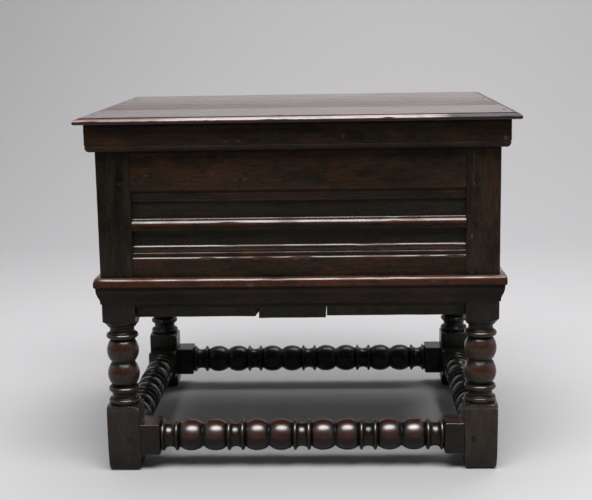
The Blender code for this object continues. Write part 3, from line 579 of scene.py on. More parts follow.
def legRows(flat, shady):
    fillet, ball, neck, step = (leg[key] for key in ("fillet", "ball", "neck", "step"))
    foot = flat - leg["footDirt"]
    rows = [(along, noLimit, foot) for along, _ in leg["wornFoot"]]
    rows += squareRun(leg["footFace"], leg["footTop"], 0.006, foot)
    rows += [(along, radius, 0.66) for along, radius in leg["footShoulder"]]
    ringShape, coveShape, ballShape = (leg[key] for key in ("ringShape", "coveShape", "ballShape"))
    for member, low, high, shape in (
            ("footRing", fillet + 0.0012, ball, leg["footRingShape"]), ("lowerCove", fillet, leg["cove"], coveShape),
            ("lowerRing", fillet, ball - 0.0003, ringShape), ("lowerBall", neck, ball, ballShape),
            ("upperBall", neck, ball, ballShape), ("upperRing", fillet, ball, ringShape),
            ("upperCove", fillet, leg["cove"], coveShape)):
        rows += bead(*leg[member], low, high, *shape)
    rows += leg["blockFillet"] + tuple((along, radius, 0.35) for along, radius in leg["blockShoulder"])
    rows += squareRun(leg["blockBottom"] + 0.0012, leg["blockTop"], step, leg["block"])
    start = leg["blockTop"] + 0.003
    if shady:
        # a painted shadow line on the front posts under the lid's rim
        low = shade["low"]
        rows += squareRun(start, low - shade["deep"], step, flat)
        rows += [(low - shade["full"], noLimit, -0.65), (low + shade["above"], noLimit, -0.65)]
        start = low + shade["end"]
    return rows + squareRun(start, boxTop, step, flat)


def legSquare(along):
    for (low, lowCut), (high, highCut) in zip(leg["wornFoot"], leg["wornFoot"][1:]):
        if along <= high:
            return post / 2 - lowCut - (highCut - lowCut) * (along - low) / (high - low)
    return post / 2


posts = {"front_left": "post", "front_right": "warmPost", "back_right": "inner", "back_left": "inner"}
for corner, (name, finish) in enumerate(posts.items()):
    rows = legRows(leg["flats"][corner], name.startswith("front"))
    lie = sideFrame(corner) @ Matrix.Translation((post / 2, post / 2, 0))
    turnedPiece(name + "_post", leg, rows, legSquare, lie, {"Seed": 1.7 * corner, "Finish": oak[finish, "z"]})

# four stretchers, the turning counted from the room between the posts
stretcher = {
    "facets": 112, "corner": 34.0, "wobble": 0.00022, "wobbleScale": 30.0,
    "half": 0.0202, "height": 0.041, "leastBlock": 0.018, "step": 0.005,
    "ball": 0.0301, "ballNeck": 0.0012, "neck": 0.0146, "ring": 0.0050, "ringRadius": 0.0202, "slope": 0.0006,
    "fillet": 0.0172, "cove": 0.0126, "coveRadius": 0.0149,
    "coveShape": (70, 14, 0.15, 0.74), "ballShape": (52, 22, 0.0, 0.96),
    "shoulder": ((-0.0013, 0.0284), (-0.0008, 0.0272), (-0.0003, 0.0250), (0.0, 0.0220), (0.0002, 0.0190)),
    # share of the ring's length and height, and the rubbed value; the other half mirrors it
    "halfRing": ((0.0, 0.0, 0.2), (0.09, 0.30, 0.65), (0.17, 0.63, 0.8), (0.26, 0.88, 0.84), (0.37, 0.975, 0.84)),
}


def ringRows(start):
    low, rise = stretcher["fillet"], stretcher["ringRadius"] - stretcher["fillet"]
    shape = (*stretcher["halfRing"], (0.5, 1.0, 0.84))
    shape += tuple((1 - along, up, rub) for along, up, rub in stretcher["halfRing"][::-1])
    return [(start + stretcher["ring"] * along, low + rise * up, rub) for along, up, rub in shape]


def stretcherRows(room):
    slope, ring, ball, neck, fillet = (stretcher[key] for key in ("slope", "ring", "ball", "neck", "fillet"))
    group = 2 * (slope + ring) + stretcher["cove"]
    pair = 2 * ball + stretcher["ballNeck"]
    pairs = int((room - 2 * stretcher["leastBlock"] - group) / (pair + group))
    block = (room - group - pairs * (pair + group)) / 2
    rows = squareRun(0.0, block - 0.002, stretcher["step"])
    rows += [(block + step, radius, 0.6) for step, radius in stretcher["shoulder"]]
    start = block
    for i in range(pairs + 1):
        rows.append((start + 0.0004, fillet, 0.05))
        rows += ringRows(start + slope)
        rows += bead(start + slope + ring + 0.0001, stretcher["cove"] - 0.0002, fillet, stretcher["coveRadius"],
                     *stretcher["coveShape"])
        rows += ringRows(start + group - slope - ring)
        rows.append((start + group - 0.0004, fillet, 0.05))
        start += group
        if i < pairs:
            for ballStart in (start, start + ball + stretcher["ballNeck"]):
                rows += bead(ballStart, ball, neck, stretcher["half"], *stretcher["ballShape"])
            start += pair
    rows += [(room - block - step, radius, 0.6) for step, radius in stretcher["shoulder"][::-1]]
    return rows + squareRun(room - block + 0.002, room, stretcher["step"])


for side, name in enumerate(sideNames):
    rows = stretcherRows(sideLength(side) - 2 * (post + fit))
    finish = oak["inner" if side else "turned", grainWay(side)]
    settings = {"Seed": 9.1 + side, "Up": (-1.0, 0.0, 0.0), "Top Dull": 1.0, "Finish": finish}
    lie = Matrix.Translation((post + fit, post / 2, stretcher["height"])) @ Matrix.Rotation(pi / 2, 4, "Y")
    turnedPiece(name + "_stretcher", stretcher, rows, lambda along: stretcher["half"], sideFrame(side) @ lie, settings)
print("turned work done")


# mouldings: a section of (inward, up) points, its arrises eased, run along a side
def easeSection(points, ease, step):
    area = sum(a[0] * b[1] - b[0] * a[1] for a, b in zip(points, points[1:] + points[:1]))
    points = points if area > 0 else points[::-1]
    eased = []
    for i, point in enumerate(points):
        here, before, after = Vector(point), Vector(points[i - 1]), Vector(points[(i + 1) % len(points)])
        coming, leaving = here - before, after - here
        if abs(coming.angle_signed(leaving, 0)) < 0.45:
            eased.append(here)
            continue
        reach = min(ease, 0.42 * coming.length, 0.42 * leaving.length)
        first, last = here - coming.normalized() * reach, here + leaving.normalized() * reach
        for share in (0, 0.25, 0.5, 0.75, 1):
            eased.append(first.lerp(here, share).lerp(here.lerp(last, share), share))
    dense = []
    for here, after in zip(eased, eased[1:] + eased[:1]):
        count = max(1, ceil((after - here).length / step))
        dense += [here.lerp(after, k / count) for k in range(count)]
    return dense


def sectionMarks(section):  # outward directions, and rubbed values from how the section turns
    bends, outs, rubbed = [], [], []
    for i, here in enumerate(section):
        coming, leaving = here - section[i - 1], section[(i + 1) % len(section)] - here
        bends.append(-coming.angle_signed(leaving, 0))
        along = (coming.normalized() + leaving.normalized()).normalized()
        outs.append(Vector((along.y, -along.x)))
    for here, out in zip(section, outs):
        bend = sum(b * exp(-((here - there).length / 0.0021) ** 2) for there, b in zip(section, bends))
        reachAndShade = 0.22 + 0.78 * smooth(-0.55, 0.25, out.y)  # arrises that face down are less worn, as hands and cloths don't reach them, and painted darker as shade
        rubbed.append(min(max(0.5 + 0.85 * bend, 0.0), 1.0, reachAndShade))
    return outs, rubbed


def wornAndShaded(wear, x, z, rub):  # the rubbed value with a worn nose, and painted shade under the rim, along the rails' bottom edges and under the lid's edge
    if wear["nose"]:
        rub = min(rub, 0.50) if z < wear["nose"][0] else max(rub, 0.88 * (z < wear["nose"][1]))
    paintedShade = shaded(z, x) if wear["shaded"] else 0.0
    # painted shade along the bottom edge of every rail
    if z < wear["foot"]:
        paintedShade = 0.55
    if wear["under"]:  # painted shade on the rim under the lid's edge
        paintedShade = 0.8 * smooth(wear["under"], wear["under"] + 0.0032, z)
    return rub * (1 - paintedShade) - 0.9 * paintedShade


def runMoulding(node, finish, section, ends, side, wear, seed, mitres=(0, 0), ease=0.0006, body="box"):
    section = easeSection(section, ease, wear["across"])
    outs, rubbed = sectionMarks(section)
    outermost = min(-0.001, min(spot.x for spot in section))
    stations = max(2, round((ends[1] - ends[0]) / wear["along"]))
    lie = sideFrame(side)
    points, marks, dulled = [], [], []

    def cut(deep):  # the ends at this depth
        return ends[0] + mitres[0] * deep, ends[1] + mitres[1] * deep

    for k in range(stations + 1):
        share = k / stations
        for spot, out, rub in zip(section, outs, rubbed):
            first, last = cut(spot.x)
            x = first + (last - first) * share
            wave = wear["wave"] * ripple((x, spot.x * 3, spot.y * 3), 26.0, seed)
            bite = max(0.0, ripple((x, spot.y, 0.3), wear["nickScale"], seed + 3) - 0.18)
            nick = wear["nick"] * smooth(0.75, 1.0, rub) * bite
            toCorner = min(x - first if mitres[0] else 1.0, last - x if mitres[1] else 1.0)
            knocked = wear["corner"] * smooth(0.011, 0.0, toCorner) * smooth(0.3, 0.9, spot.x / outermost)
            moved = spot + out * (wave - wear["wave"] - nick) + Vector((knocked, 0.0))
            first, last = cut(moved.x)
            points.append(lie @ Vector((first + (last - first) * share, moved.x, moved.y)))
            shine = smooth(0.12, 0.42, out.y) * smooth(0.40, 0.62, rub)  # polish stays on crests that face up
            worn = smooth(-0.1, 0.45, ripple((x, spot.y * 0.5, 0.9), 26.0, seed + 7))
            dulled.append(1 - shine * (1 - 0.6 * worn))
            marks.append(wornAndShaded(wear, x, spot.y, rub))
    size = len(section)
    faces = [(k * size + i, k * size + (i + 1) % size, (k + 1) * size + (i + 1) % size, (k + 1) * size + i)
             for k in range(stations) for i in range(size)]
    faces += [tuple(range(size - 1, -1, -1)), tuple(stations * size + i for i in range(size))]
    mesh = meshFrom(points, faces, marks, dulled)
    finishPiece(node, mesh, body, oak[finish, grainWay(side)], 50)


def quarter(start, end, acrossFirst, steps):
    points = []
    for i in range(1, steps + 1):
        angle = pi / 2 * i / steps
        first, second = sin(angle), 1 - cos(angle)
        if not acrossFirst:
            first, second = second, first
        points.append((start[0] + (end[0] - start[0]) * first, start[1] + (end[1] - start[1]) * second))
    return points


def ogee(start, end, steps):
    wide, tall = end[0] - start[0], end[1] - start[1]
    return [(start[0] + wide * (1 - cos(pi * i / steps)) / 2, start[1] + tall * i / steps)
            for i in range(1, steps + 1)]


def rolled(start, bends, steps=6):  # bends of (length, first and last slope in degrees), going up and inward
    points = [start]
    for length, first, last in bends:
        for i in range(steps):
            slope = radians(first + (last - first) * (i + 0.5) / steps)
            deep, z = points[-1]
            points.append((deep + length / steps * sin(slope), z + length / steps * cos(slope)))
    return points


planed = {"along": 0.006, "across": 0.006, "wave": 0.00012, "nick": 0.0016, "nickScale": 42.0, "corner": 0.0,
          "nose": None, "shaded": False, "foot": 0.0, "under": None}

# rails, moulded beside the panel except at the back
rail = {"thick": 0.022, "setback": 0.008, "groove": 0.008, "grooveDeep": 0.006, "edge": 0.014, "fillet": 0.0049,
        "step": 0.0012, "worn": 0.0024, "roll": ((0.0008, 0, 27), (0.0026, 27, 50), (0.0008, 50, 88)), "foot": 0.0012}


def railSection(freeEdge, panelEdge, moulded):
    up = 1 if panelEdge > freeEdge else -1
    setback, thick = rail["setback"], rail["thick"]
    section = [(thick, freeEdge), (0, freeEdge)]
    if moulded and up < 0:
        # points for the painted shadow line under the rim
        shadowLines = (shade["end"], shade["above"], -shade["full"], -shade["deep"])
        section += [(0, shade["low"] + line) for line in shadowLines]
    if moulded:
        arris = panelEdge - up * rail["edge"]
        step = arris + up * rail["fillet"]
        roll = rolled((0.0, 0.0), rail["roll"])
        wide, tall = roll[-1]
        start, end = (wide, step - up * rail["worn"]), (wide + rail["step"], step)
        section += [(deep, arris + up * (z - tall)) for deep, z in roll] + [start] + quarter(start, end, False, 6)
        lip = [(setback - wide + deep, panelEdge + up * (z - tall)) for deep, z in roll]
        section += ogee(end, lip[0], 8) + lip[1:-1]
    else:
        section.append((0, panelEdge))
    floor, back = panelEdge - up * rail["grooveDeep"], setback + rail["groove"]
    return section + [(setback, panelEdge), (setback, floor), (back, floor), (back, panelEdge), (thick, panelEdge)]


for side, name in enumerate(sideNames):
    moulded = name != "back"
    ends = (post + fit, sideLength(side) - post - fit)
    for level, freeEdge, panelEdge in (("top", boxTop, panelHigh), ("bottom", railBottom, panelLow)):
        isTop = level == "top"
        # the moulded top rails get the painted shadow line under the rim, and every rail painted shade along its
        # bottom edge
        wear = {**planed, "shaded": isTop and moulded, "foot": railBottom + rail["foot"]}
        section = railSection(freeEdge, panelEdge, moulded)
        runMoulding(f"{name}_{level}_rail", "frame", section, ends, side, wear, side * 2.3 + isTop)
    reach = post - rail["grooveDeep"] + fit
    low, high = panelLow - rail["grooveDeep"] + fit, panelHigh + rail["grooveDeep"] - fit
    near, far = rail["setback"] + fit, rail["setback"] + rail["groove"] - fit
    section = [(near, low), (near, high), (far, high), (far, low)]
    ends = (reach, sideLength(side) - reach)
    runMoulding(name + "_panel", "panel", section, ends, side, {**planed, "nick": 0.0}, side + 20.5)

# bar across the front panel
bar = {"height": 0.015, "setback": 0.001, "quirk": 0.0022, "nick": 0.0008, "ease": 0.0004,
       "bends": ((0.0016, 0, 27), (0.0046, 27, 50), (0.0012, 50, 88))}
barLow = (panelLow + panelHigh - bar["height"]) / 2
barHigh = barLow + bar["height"]
roll = rolled((bar["setback"], 0.0), bar["bends"])
drop = barHigh - bar["quirk"] - roll[-1][1]
roll = [(deep, z + drop) for deep, z in roll]
section = [(rail["setback"], barLow), (bar["setback"], barLow)] + roll
section += quarter(roll[-1], (rail["setback"], barHigh), False, 5)
ends = (post + fit, boxWidth - post - fit)
wear = {**planed, "nick": bar["nick"]}
runMoulding("front_panel_bar", "moulding", section, ends, 0, wear, 31.0, ease=bar["ease"])

# base moulding and lid rim, mitred at the front corners
base = {"top": panelLow - 0.0395, "height": 0.0345, "shelf": 0.0034, "out": 0.0098, "round": 0.0066, "nose": 0.0105,
        "quirk": 0.0025, "toe": 0.0015}
rim = {"top": boxTop, "height": 0.0341, "gap": 0.0008, "out": 0.0115, "ovolo": 0.0066, "ovoloDeep": 0.0055,
       "step": 0.0010, "quirk": 0.0016, "dark": 0.0012, "dirty": 0.0042}


def baseSection():
    top, bottom, quirk = base["top"], base["top"] - base["height"], base["quirk"]
    shelf, nose = (-base["shelf"], top), (-base["out"], top - base["nose"])
    under = (nose[0] + quirk, nose[1] - quirk)
    fillet = (under[0], under[1] - quirk)
    toe = (-base["toe"], bottom + quirk)
    section = [(-fit, bottom), (-fit, top), shelf] + quarter(shelf, (nose[0], top - base["round"]), True, 8)
    section += [nose] + quarter(nose, under, False, 5) + [fillet]
    return section + ogee(fillet, toe, 9) + [(toe[0], bottom)]


def rimSection():
    top, low, quirk = rim["top"], rim["top"] - rim["height"], rim["quirk"]
    face = (-rim["out"], low + rim["ovolo"] + quirk)
    groove = (face[0] + rim["step"], face[1] - 0.3 * quirk)
    lip = (face[0] + 0.3 * rim["step"], face[1] - quirk)
    section = [(-rim["gap"], low), (-rim["gap"], top)]
    # points for the painted shade on the rim under the lid's edge
    section += [(face[0], top - down) for down in (0.0, rim["dark"], rim["dirty"])]
    return section + [face, groove, lip] + quarter(lip, (lip[0] + rim["ovoloDeep"], low), False, 7)


noseBand = (base["top"] - base["nose"] - 0.0004, base["top"] - 0.5 * base["round"])
baseWear = {**planed, "nick": 0.0022, "nickScale": 30.0, "nose": noseBand, "corner": 0.0015}
# the rim's top is painted darker as shade under the lid's edge
rimWear = {**planed, "nick": 0.0020, "under": rim["top"] - rim["dirty"], "corner": 0.0009}
for side in (0, 1, 3):
    name = sideNames[side]
    mitres = (1 if side in (0, 1) else 0, -1 if side in (0, 3) else 0)
    ends = (fit * mitres[0], sideLength(side) + fit * mitres[1])
    runMoulding(name + "_base_moulding", "moulding", baseSection(), ends, side, baseWear, 40.0 + side, mitres)
    runMoulding(name + "_lid_rim", "rim", rimSection(), ends, side, rimWear, 50.0 + side, mitres, body="lid")
print("frame and mouldings done")


# boards: the outer faces of a block of cells, each corner point placed by a rule
around = {(1, 0, 0): "100 110 111 101", (-1, 0, 0): "000 001 011 010", (0, 1, 0): "010 011 111 110",
          (0, -1, 0): "000 100 101 001", (0, 0, 1): "001 101 111 011", (0, 0, -1): "000 010 110 100"}
cellFaces = [(way, [[int(digit) for digit in word] for word in words.split()]) for way, words in around.items()]


def addBlock(node, body, finish, along, counts, cornerAt, kept=lambda i, j: True):
    points, marks, dulled, faces, known = [], [], [], [], {}

    def vertex(key):
        if key not in known:
            known[key] = len(points)
            point, rub, dull = cornerAt(*key)
            points.append(point)
            marks.append(rub)
            dulled.append(dull)
        return known[key]

    def inside(i, j, k):
        return 0 <= i < counts[0] and 0 <= j < counts[1] and 0 <= k < counts[2] and kept(i, j)

    for i in range(counts[0]):
        for j in range(counts[1]):
            for k in range(counts[2]):
                if not inside(i, j, k):
                    continue
                for (di, dj, dk), corners in cellFaces:
                    if not inside(i + di, j + dj, k + dk):
                        faces.append([vertex((i + a, j + b, k + c)) for a, b, c in corners])
    finishPiece(node, meshFrom(points, faces, marks, dulled), body, oak[finish, along], 35)


# lid of two boards with a thumbnail edge, battered towards the right
lid = {"under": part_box("front_lid_board")[0].z, "thick": 0.0085, "nose": 0.0070, "quirk": 0.0010, "belly": 0.0020,
       "undercut": 0.0024, "cell": 0.003, "sag": 0.0005, "dull": 0.62, "chip": 0.0056, "chipScale": 34.0,
       "smallChip": 0.0036, "battered": 0.180}


def lidEdge():  # (inset, height, rubbed) from the underside to the top
    nose, thick = lid["nose"], lid["thick"]
    under, belly, quirk = (lid["undercut"], 0), (0, lid["belly"]), (nose, thick - lid["quirk"])
    rows = [(*under, 0.3)] + [(*point, 0.35) for point in quarter(under, belly, True, 4)]
    rows += [(*point, 1.0 - 0.4 * i / 8) for i, point in enumerate(quarter(belly, quirk, False, 8))]
    rows[-1] = (*rows[-1][:2], 0.2)
    return rows + [(nose + 0.0001, thick - 0.0004, 0.5), (nose + 0.0005, thick, 0.7)]


def edgeDent(x, y, height):
    tip = 1 - abs(height - lid["belly"]) / lid["thick"]
    battered = 1 + 1.8 * smooth(lid["battered"] - 0.01, lid["battered"] + 0.01, x)
    dent = 0.0006 * ripple((x, y, 0), 90.0, 2.0)
    dent += lid["smallChip"] * max(0.0, ripple((x, y, 7), 110.0, 1.0) - 0.30)
    dent += lid["chip"] * battered * max(0.0, ripple((x, y, 1), lid["chipScale"], 5.0) - 0.24)
    return max(dent, 0.0) * tip * tip


def edgeMarks(x, y, height, rub):  # rubbed and dulled
    # the undercut under the nose is painted dark as shade, and left without polish
    if height < lid["belly"] + 0.0003:
        return -0.2, 1.0
    uneven = 0.30 * ripple((x, y, 2), 22.0, 3.0) + 0.16 * ripple((x, y, 4), 120.0, 6.0) - 0.05
    patchy = 0.75 * ripple((x, y, 6), 9.0, 4.0) + 0.45 * ripple((x, y, 8), 75.0, 2.0)
    leftEnd = smooth(-0.150, -0.175, x + 0.02 * ripple((x, y, 5), 40.0, 7.0))
    ragged = x + 0.012 * ripple((x, y, 3), 60.0, 9.0)
    broken = smooth(lid["battered"] - 0.012, lid["battered"] + 0.012, ragged)
    dull = max(0.85 * smooth(-0.10, 0.32, patchy), 0.6 * leftEnd, broken)
    return min(max(rub - 0.65 * broken + uneven, 0.0), 1.0), dull


def lidDull(y):  # the front strip is the most polished
    return smooth(-0.090, -0.078, y) * (lid["dull"] - (lid["dull"] - 0.04) * smooth(-0.07, 0.19, y))


edge = lidEdge()
for board, moulded in (("front", True), ("back", False)):
    low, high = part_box(board + "_lid_board")
    counts = (round((high.x - low.x) / lid["cell"]), round((high.y - low.y) / lid["cell"]), len(edge) - 1)

    def lidPoint(i, j, k):
        inset, height, rub = edge[k]
        atEnd, atFront = i in (0, counts[0]), moulded and j == 0
        x = low.x + inset + (high.x - low.x - 2 * inset) * i / counts[0]
        near = low.y + (inset if moulded else 0.0)
        y = near + (high.y - near) * j / counts[1]
        dent = edgeDent(x, y, height) if atEnd or atFront else 0.0
        y += dent if atFront else 0.0
        x += (dent if i == 0 else -dent) if atEnd else 0.0
        z = lid["under"] + height
        if k == counts[2]:
            z -= lid["sag"] * (0.5 + 0.5 * ripple((x, y, 0), 7.0, 8.0))
            z -= 0.00005 * (1 + ripple((x * 0.1, y, 0), 60.0, 1.0))
        return Vector((x, y, z)), *(edgeMarks(x, y, height, rub) if atEnd or atFront else (0.5, lidDull(y)))

    addBlock(board + "_lid_board", "lid", "lid", "x", counts, lidPoint)

# bottom boards, the outer two notched round the posts
boards = {"cellX": 0.010, "cellY": 0.012, "layers": 3, "rough": 0.0006, "chip": (0.0035, 0.0115, 0.03)}
nearNotch, farNotch = postLow.y + post + fit, farPost.y - post - fit


def spread(stops, step):
    lines = [stops[0]]
    for start, end in zip(stops, stops[1:]):
        count = max(1, round((end - start) / step))
        lines += [start + (end - start) * i / count for i in range(1, count + 1)]
    return lines


for hand in ("left", "middle", "right"):
    low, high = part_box(hand + "_bottom_board")
    inner = {"left": postLow.x + post + fit, "right": farPost.x - post - fit, "middle": None}[hand]
    xs = spread([low.x, high.x] if inner is None else sorted([low.x, high.x, inner]), boards["cellX"])
    ys = spread([low.y, nearNotch, farNotch, high.y], boards["cellY"])

    def keptCell(i, j):
        if inner is None:
            return True
        centre = (xs[i] + xs[i + 1]) / 2
        inNotch = centre < inner if hand == "left" else centre > inner
        return not (inNotch and (ys[j + 1] <= nearNotch + 1e-6 or ys[j] >= farNotch - 1e-6))

    def boardPoint(i, j, k):
        x, y, z = xs[i], ys[j], low.z + (high.z - low.z) * (k / boards["layers"])
        z += boards["rough"] * (0.5 + 0.5 * ripple((x, y * 0.5, 0), 34.0, 4.0)) if k == 0 else 0.0
        y += boards["rough"] * (1 + ripple((x, 0, z), 40.0, 6.0)) if j == 0 else 0.0
        if hand == "left" and i == len(xs) - 1:  # broken front corner
            wide, tall, deep = boards["chip"]
            x -= wide * max(0.0, 1 - (z - low.z) / tall) * max(0.0, 1 - (y - low.y) / deep)
        return Vector((x, y, z)), 0.5, 0.0

    counts = (len(xs) - 1, len(ys) - 1, boards["layers"])
    addBlock(hand + "_bottom_board", "box", "board", "y", counts, boardPoint, keptCell)
print("boards done")


# pegs and nails: one head set on every point, facing out of the wood
def buildHeads():
    given, out = newTree("setHeads", {
        "Points": "Geometry", "Facets": 9, "Radius": 0.0025, "Top": 0.82, "Proud": 0.0005, "Depth": 0.003,
        "Collar": 0.0006, "Seed": 3, "Finish": "Material", "Dirt": "Material"})

    def standing(shape, drop, finish):
        values = {"Geometry": shape, "Translation": joined(0.0, 0.0, drop)}
        return inFinish(made("GeometryNodeTransform", values), finish)

    def randomly(low, high):
        values = {"Min": low, "Max": high, "Seed": given["Seed"]}
        return made("FunctionNodeRandomValue", values, data_type="FLOAT")

    radius, proud = given["Radius"], given["Proud"]
    under = times(given["Depth"], -1.0)
    tall = calc("ADD", given["Depth"], proud)
    head = made("GeometryNodeMeshCone", {
        "Vertices": given["Facets"], "Side Segments": 4, "Fill Segments": 2,
        "Radius Top": times(radius, given["Top"]), "Radius Bottom": radius, "Depth": tall})
    wide = calc("ADD", radius, given["Collar"])
    collar = made("GeometryNodeMeshCylinder", {"Vertices": 20, "Radius": wide, "Depth": tall})
    low = calc("SUBTRACT", under, times(proud, 0.85))
    centre = calc("ADD", low, times(tall, 0.5))
    both = place("GeometryNodeJoinGeometry", {0: standing(head, under, given["Finish"])})
    feed(standing(collar, centre, given["Dirt"]), both.inputs[0])
    facing = {"Vector": attribute("facing", "FLOAT_VECTOR")}
    upright = made("FunctionNodeAlignRotationToVector", facing, axis="Z")
    spin = made("FunctionNodeAxisAngleToRotation", {"Axis": (0, 0, 1), "Angle": randomly(0.0, 6.28)})
    turned = made("FunctionNodeRotateRotation", {"Rotation": upright, "Rotate By": spin}, rotation_space="LOCAL")
    heads = made("GeometryNodeInstanceOnPoints", {
        "Points": given["Points"], "Instance": both.outputs[0], "Rotation": turned, "Scale": randomly(0.88, 1.08)})
    return send(out, {"Geometry": realized(heads)})


setHeads = buildHeads()
outward = {"front": (0, -1, 0), "right": (1, 0, 0), "back": (0, 1, 0), "left": (-1, 0, 0),
           "up": (0, 0, 1), "down": (0, 0, -1)}
faceAt = {"front": postLow.y, "right": farPost.x, "back": farPost.y, "left": postLow.x}


def setAt(spots, settings):  # heads at (x, y, z, way) spots
    points = plainMesh("spots", [spot[:3] for spot in spots])
    facing = [part for spot in spots for part in outward[spot[3]]]
    points.attributes.new("facing", "FLOAT_VECTOR", "POINT").data.foreach_set("vector", facing)
    return runTree(setHeads, points, {**settings, "Dirt": oldGrime})


peg = {"Facets": 9, "Radius": 0.0026, "Top": 0.85, "Proud": 0.0006, "Depth": 0.004, "Collar": 0.0005, "Seed": 3,
       "Finish": pegOak}
backPegs = {"inset": 0.012, "heights": (panelHigh + 0.025, panelLow - 0.0355)}
pegNodes = sorted(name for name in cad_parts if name.endswith("_peg"))
spots = []
for node in pegNodes:
    way = node.split("_")[0]
    low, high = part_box(node)
    x, y, z = (low + high) / 2
    spots.append((faceAt[way], y, z, way) if way in ("left", "right") else (x, faceAt[way], z, way))
spots += [(x, farPost.y, height, "back") for height in backPegs["heights"]
          for x in (postLow.x + post - backPegs["inset"], farPost.x - post + backPegs["inset"])]
finishPiece("box_pegs", setAt(spots, peg), "box", nodes=pegNodes)

nail = {"Facets": 7, "Radius": 0.00208, "Top": 0.55, "Proud": 0.0006, "Depth": 0.003, "Collar": 0.0004, "Seed": 11,
        "Finish": wornIron}
nailed = {"left": (-0.195, -0.075), "middle": (-0.040, 0.018), "right": (0.055, 0.195), "inset": 0.026,
          "sides": (-0.14, 0.01, 0.16), "down": 0.027, "out": 0.0046}
spots = []
for hand in ("left", "middle", "right"):
    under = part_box(hand + "_bottom_board")[0].z + boards["rough"] * 0.5
    spots += [(x, y, under, "down") for x in nailed[hand]
              for y in (postLow.y + nailed["inset"], farPost.y - nailed["inset"])]
for way, x in (("right", farPost.x + nailed["out"]), ("left", postLow.x - nailed["out"])):
    spots += [(x, y, base["top"] - nailed["down"], way) for y in nailed["sides"]]
finishPiece("box_nails", setAt(spots, nail), "box", nodes=[])

lidPeg = {"Facets": 8, "Radius": 0.0021, "Top": 0.8, "Proud": 0.0003, "Depth": 0.003, "Collar": 0.0006, "Seed": 7,
          "Finish": pegOak}
pegged = {"out": 0.0065, "ends": (-0.165, -0.05, 0.06, 0.165), "front": (-0.17, -0.02, 0.15),
          "rim": (-0.15, 0.02, 0.17), "down": 0.011}
lidTop = lid["under"] + lid["thick"] - lid["sag"] * 0.5 - 0.0002
spots = [(hand * (farPost.x + pegged["out"]), y, lidTop, "up") for hand in (-1, 1) for y in pegged["ends"]]
spots += [(x, postLow.y - pegged["out"], lidTop, "up") for x in pegged["front"]]
for way, x in (("right", farPost.x + rim["out"]), ("left", postLow.x - rim["out"])):
    spots += [(x, y, rim["top"] - pegged["down"], way) for y in pegged["rim"]]
finishPiece("lid_pegs", setAt(spots, lidPeg), "lid", nodes=[])


# wrought hinges: a wire staple in the back rail, and an eye drawn up into the lid
def buildWire():
    inputs = {"Path": "Geometry", "Radius": 0.0015, "Bend": 0.0018, "Finish": "Material"}
    given, out = newTree("bentWire", inputs)
    curve = made("GeometryNodeMeshToCurve", {0: given["Path"]})
    corners = {"Curve": curve, "Radius": given["Bend"], "Count": 6, "Limit Radius": True}
    bent = made("GeometryNodeFilletCurve", corners, mode="POLY")
    ring = made("GeometryNodeCurvePrimitiveCircle", {"Resolution": 16, "Radius": given["Radius"]})
    wire = made("GeometryNodeCurveToMesh", {"Curve": bent, "Profile Curve": ring, "Fill Caps": True})
    return send(out, {"Geometry": inFinish(realized(wire), given["Finish"])})


bentWire = buildWire()
hinge = {"wire": 0.0015, "half": 0.0045, "leg": 0.021, "bend": 0.0018, "hole": 0.0019, "band": 0.0026,
         "offset": 0.005, "shank": 0.0055, "rings": 32, "across": 8}


def eyeMesh(x, y, z):
    rings, across, half = hinge["rings"], hinge["across"], hinge["band"] / 2
    mean = hinge["hole"] + half
    points, faces = [], []
    for i in range(rings):
        angle = 2 * pi * i / rings
        this, following = i * across, (i + 1) % rings * across
        for j in range(across):
            turn = 2 * pi * j / across
            radius = mean + half * cos(turn)
            points.append((x + half * sin(turn), y + radius * sin(angle), z + radius * cos(angle)))
            beside = (j + 1) % across
            faces.append((this + j, this + beside, following + beside, following + j))
    start = len(points)  # the shank
    for height, size in ((mean, half), (hinge["offset"] + hinge["shank"], half * 0.8)):
        points += [(x + a * size, y + b * size, z + height) for a, b in ((-1, -1), (1, -1), (1, 1), (-1, 1))]
    faces += [(start + i, start + (i + 1) % 4, start + 4 + (i + 1) % 4, start + 4 + i) for i in range(4)]
    faces += [tuple(range(start, start + 4)), tuple(range(start + 4, start + 8))]
    return meshFrom(points, faces, [0.5] * len(points))


for hand in ("left", "right"):
    low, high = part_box(hand + "_hinge_eye")
    x, y, z = (low.x + high.x) / 2, farPost.y + hinge["offset"], lid["under"] - hinge["offset"]
    before, after, legEnd = x - hinge["half"], x + hinge["half"], y - hinge["leg"]
    bends = [(before, legEnd, z), (before, y, z), (after, y, z), (after, legEnd, z)]
    path = plainMesh("path", bends, [(0, 1), (1, 2), (2, 3)])
    mesh = runTree(bentWire, path, {"Radius": hinge["wire"], "Bend": hinge["bend"], "Finish": wornIron})
    finishPiece(hand + "_hinge_staple", mesh, "box")
    finishPiece(hand + "_hinge_eye", eyeMesh(x, y, z), "lid", wornIron)
print("pegs, nails and hinges done")

# pale seamless sweep; views from behind or below look through the paper
sweep = {"half": 3.5, "front": -1.2, "back": 2.4, "round": 1.0, "steps": 24, "top": 3.4,
         "paper": (0.62, 0.61, 0.62), "rough": 0.9}
bendStart = sweep["back"] - sweep["round"]
outline = [(sweep["front"], 0.0), (bendStart, 0.0)]
for i in range(1, sweep["steps"] + 1):
    angle = i * pi / (2 * sweep["steps"])
    outline.append((bendStart + sweep["round"] * sin(angle), sweep["round"] * (1 - cos(angle))))
outline.append((sweep["back"], sweep["top"]))
points = [(hand * sweep["half"], y, z) for y, z in outline for hand in (-1, 1)]
faces = [(2 * i, 2 * i + 1, 2 * i + 3, 2 * i + 2) for i in range(len(outline) - 1)]
mesh = plainMesh("paperSweep", points, faces=faces)
mesh.shade_smooth()
paper, shader = newMaterial("palePaper")
send(shader.inputs, {"Base Color": (*sweep["paper"], 1), "Roughness": sweep["rough"]})
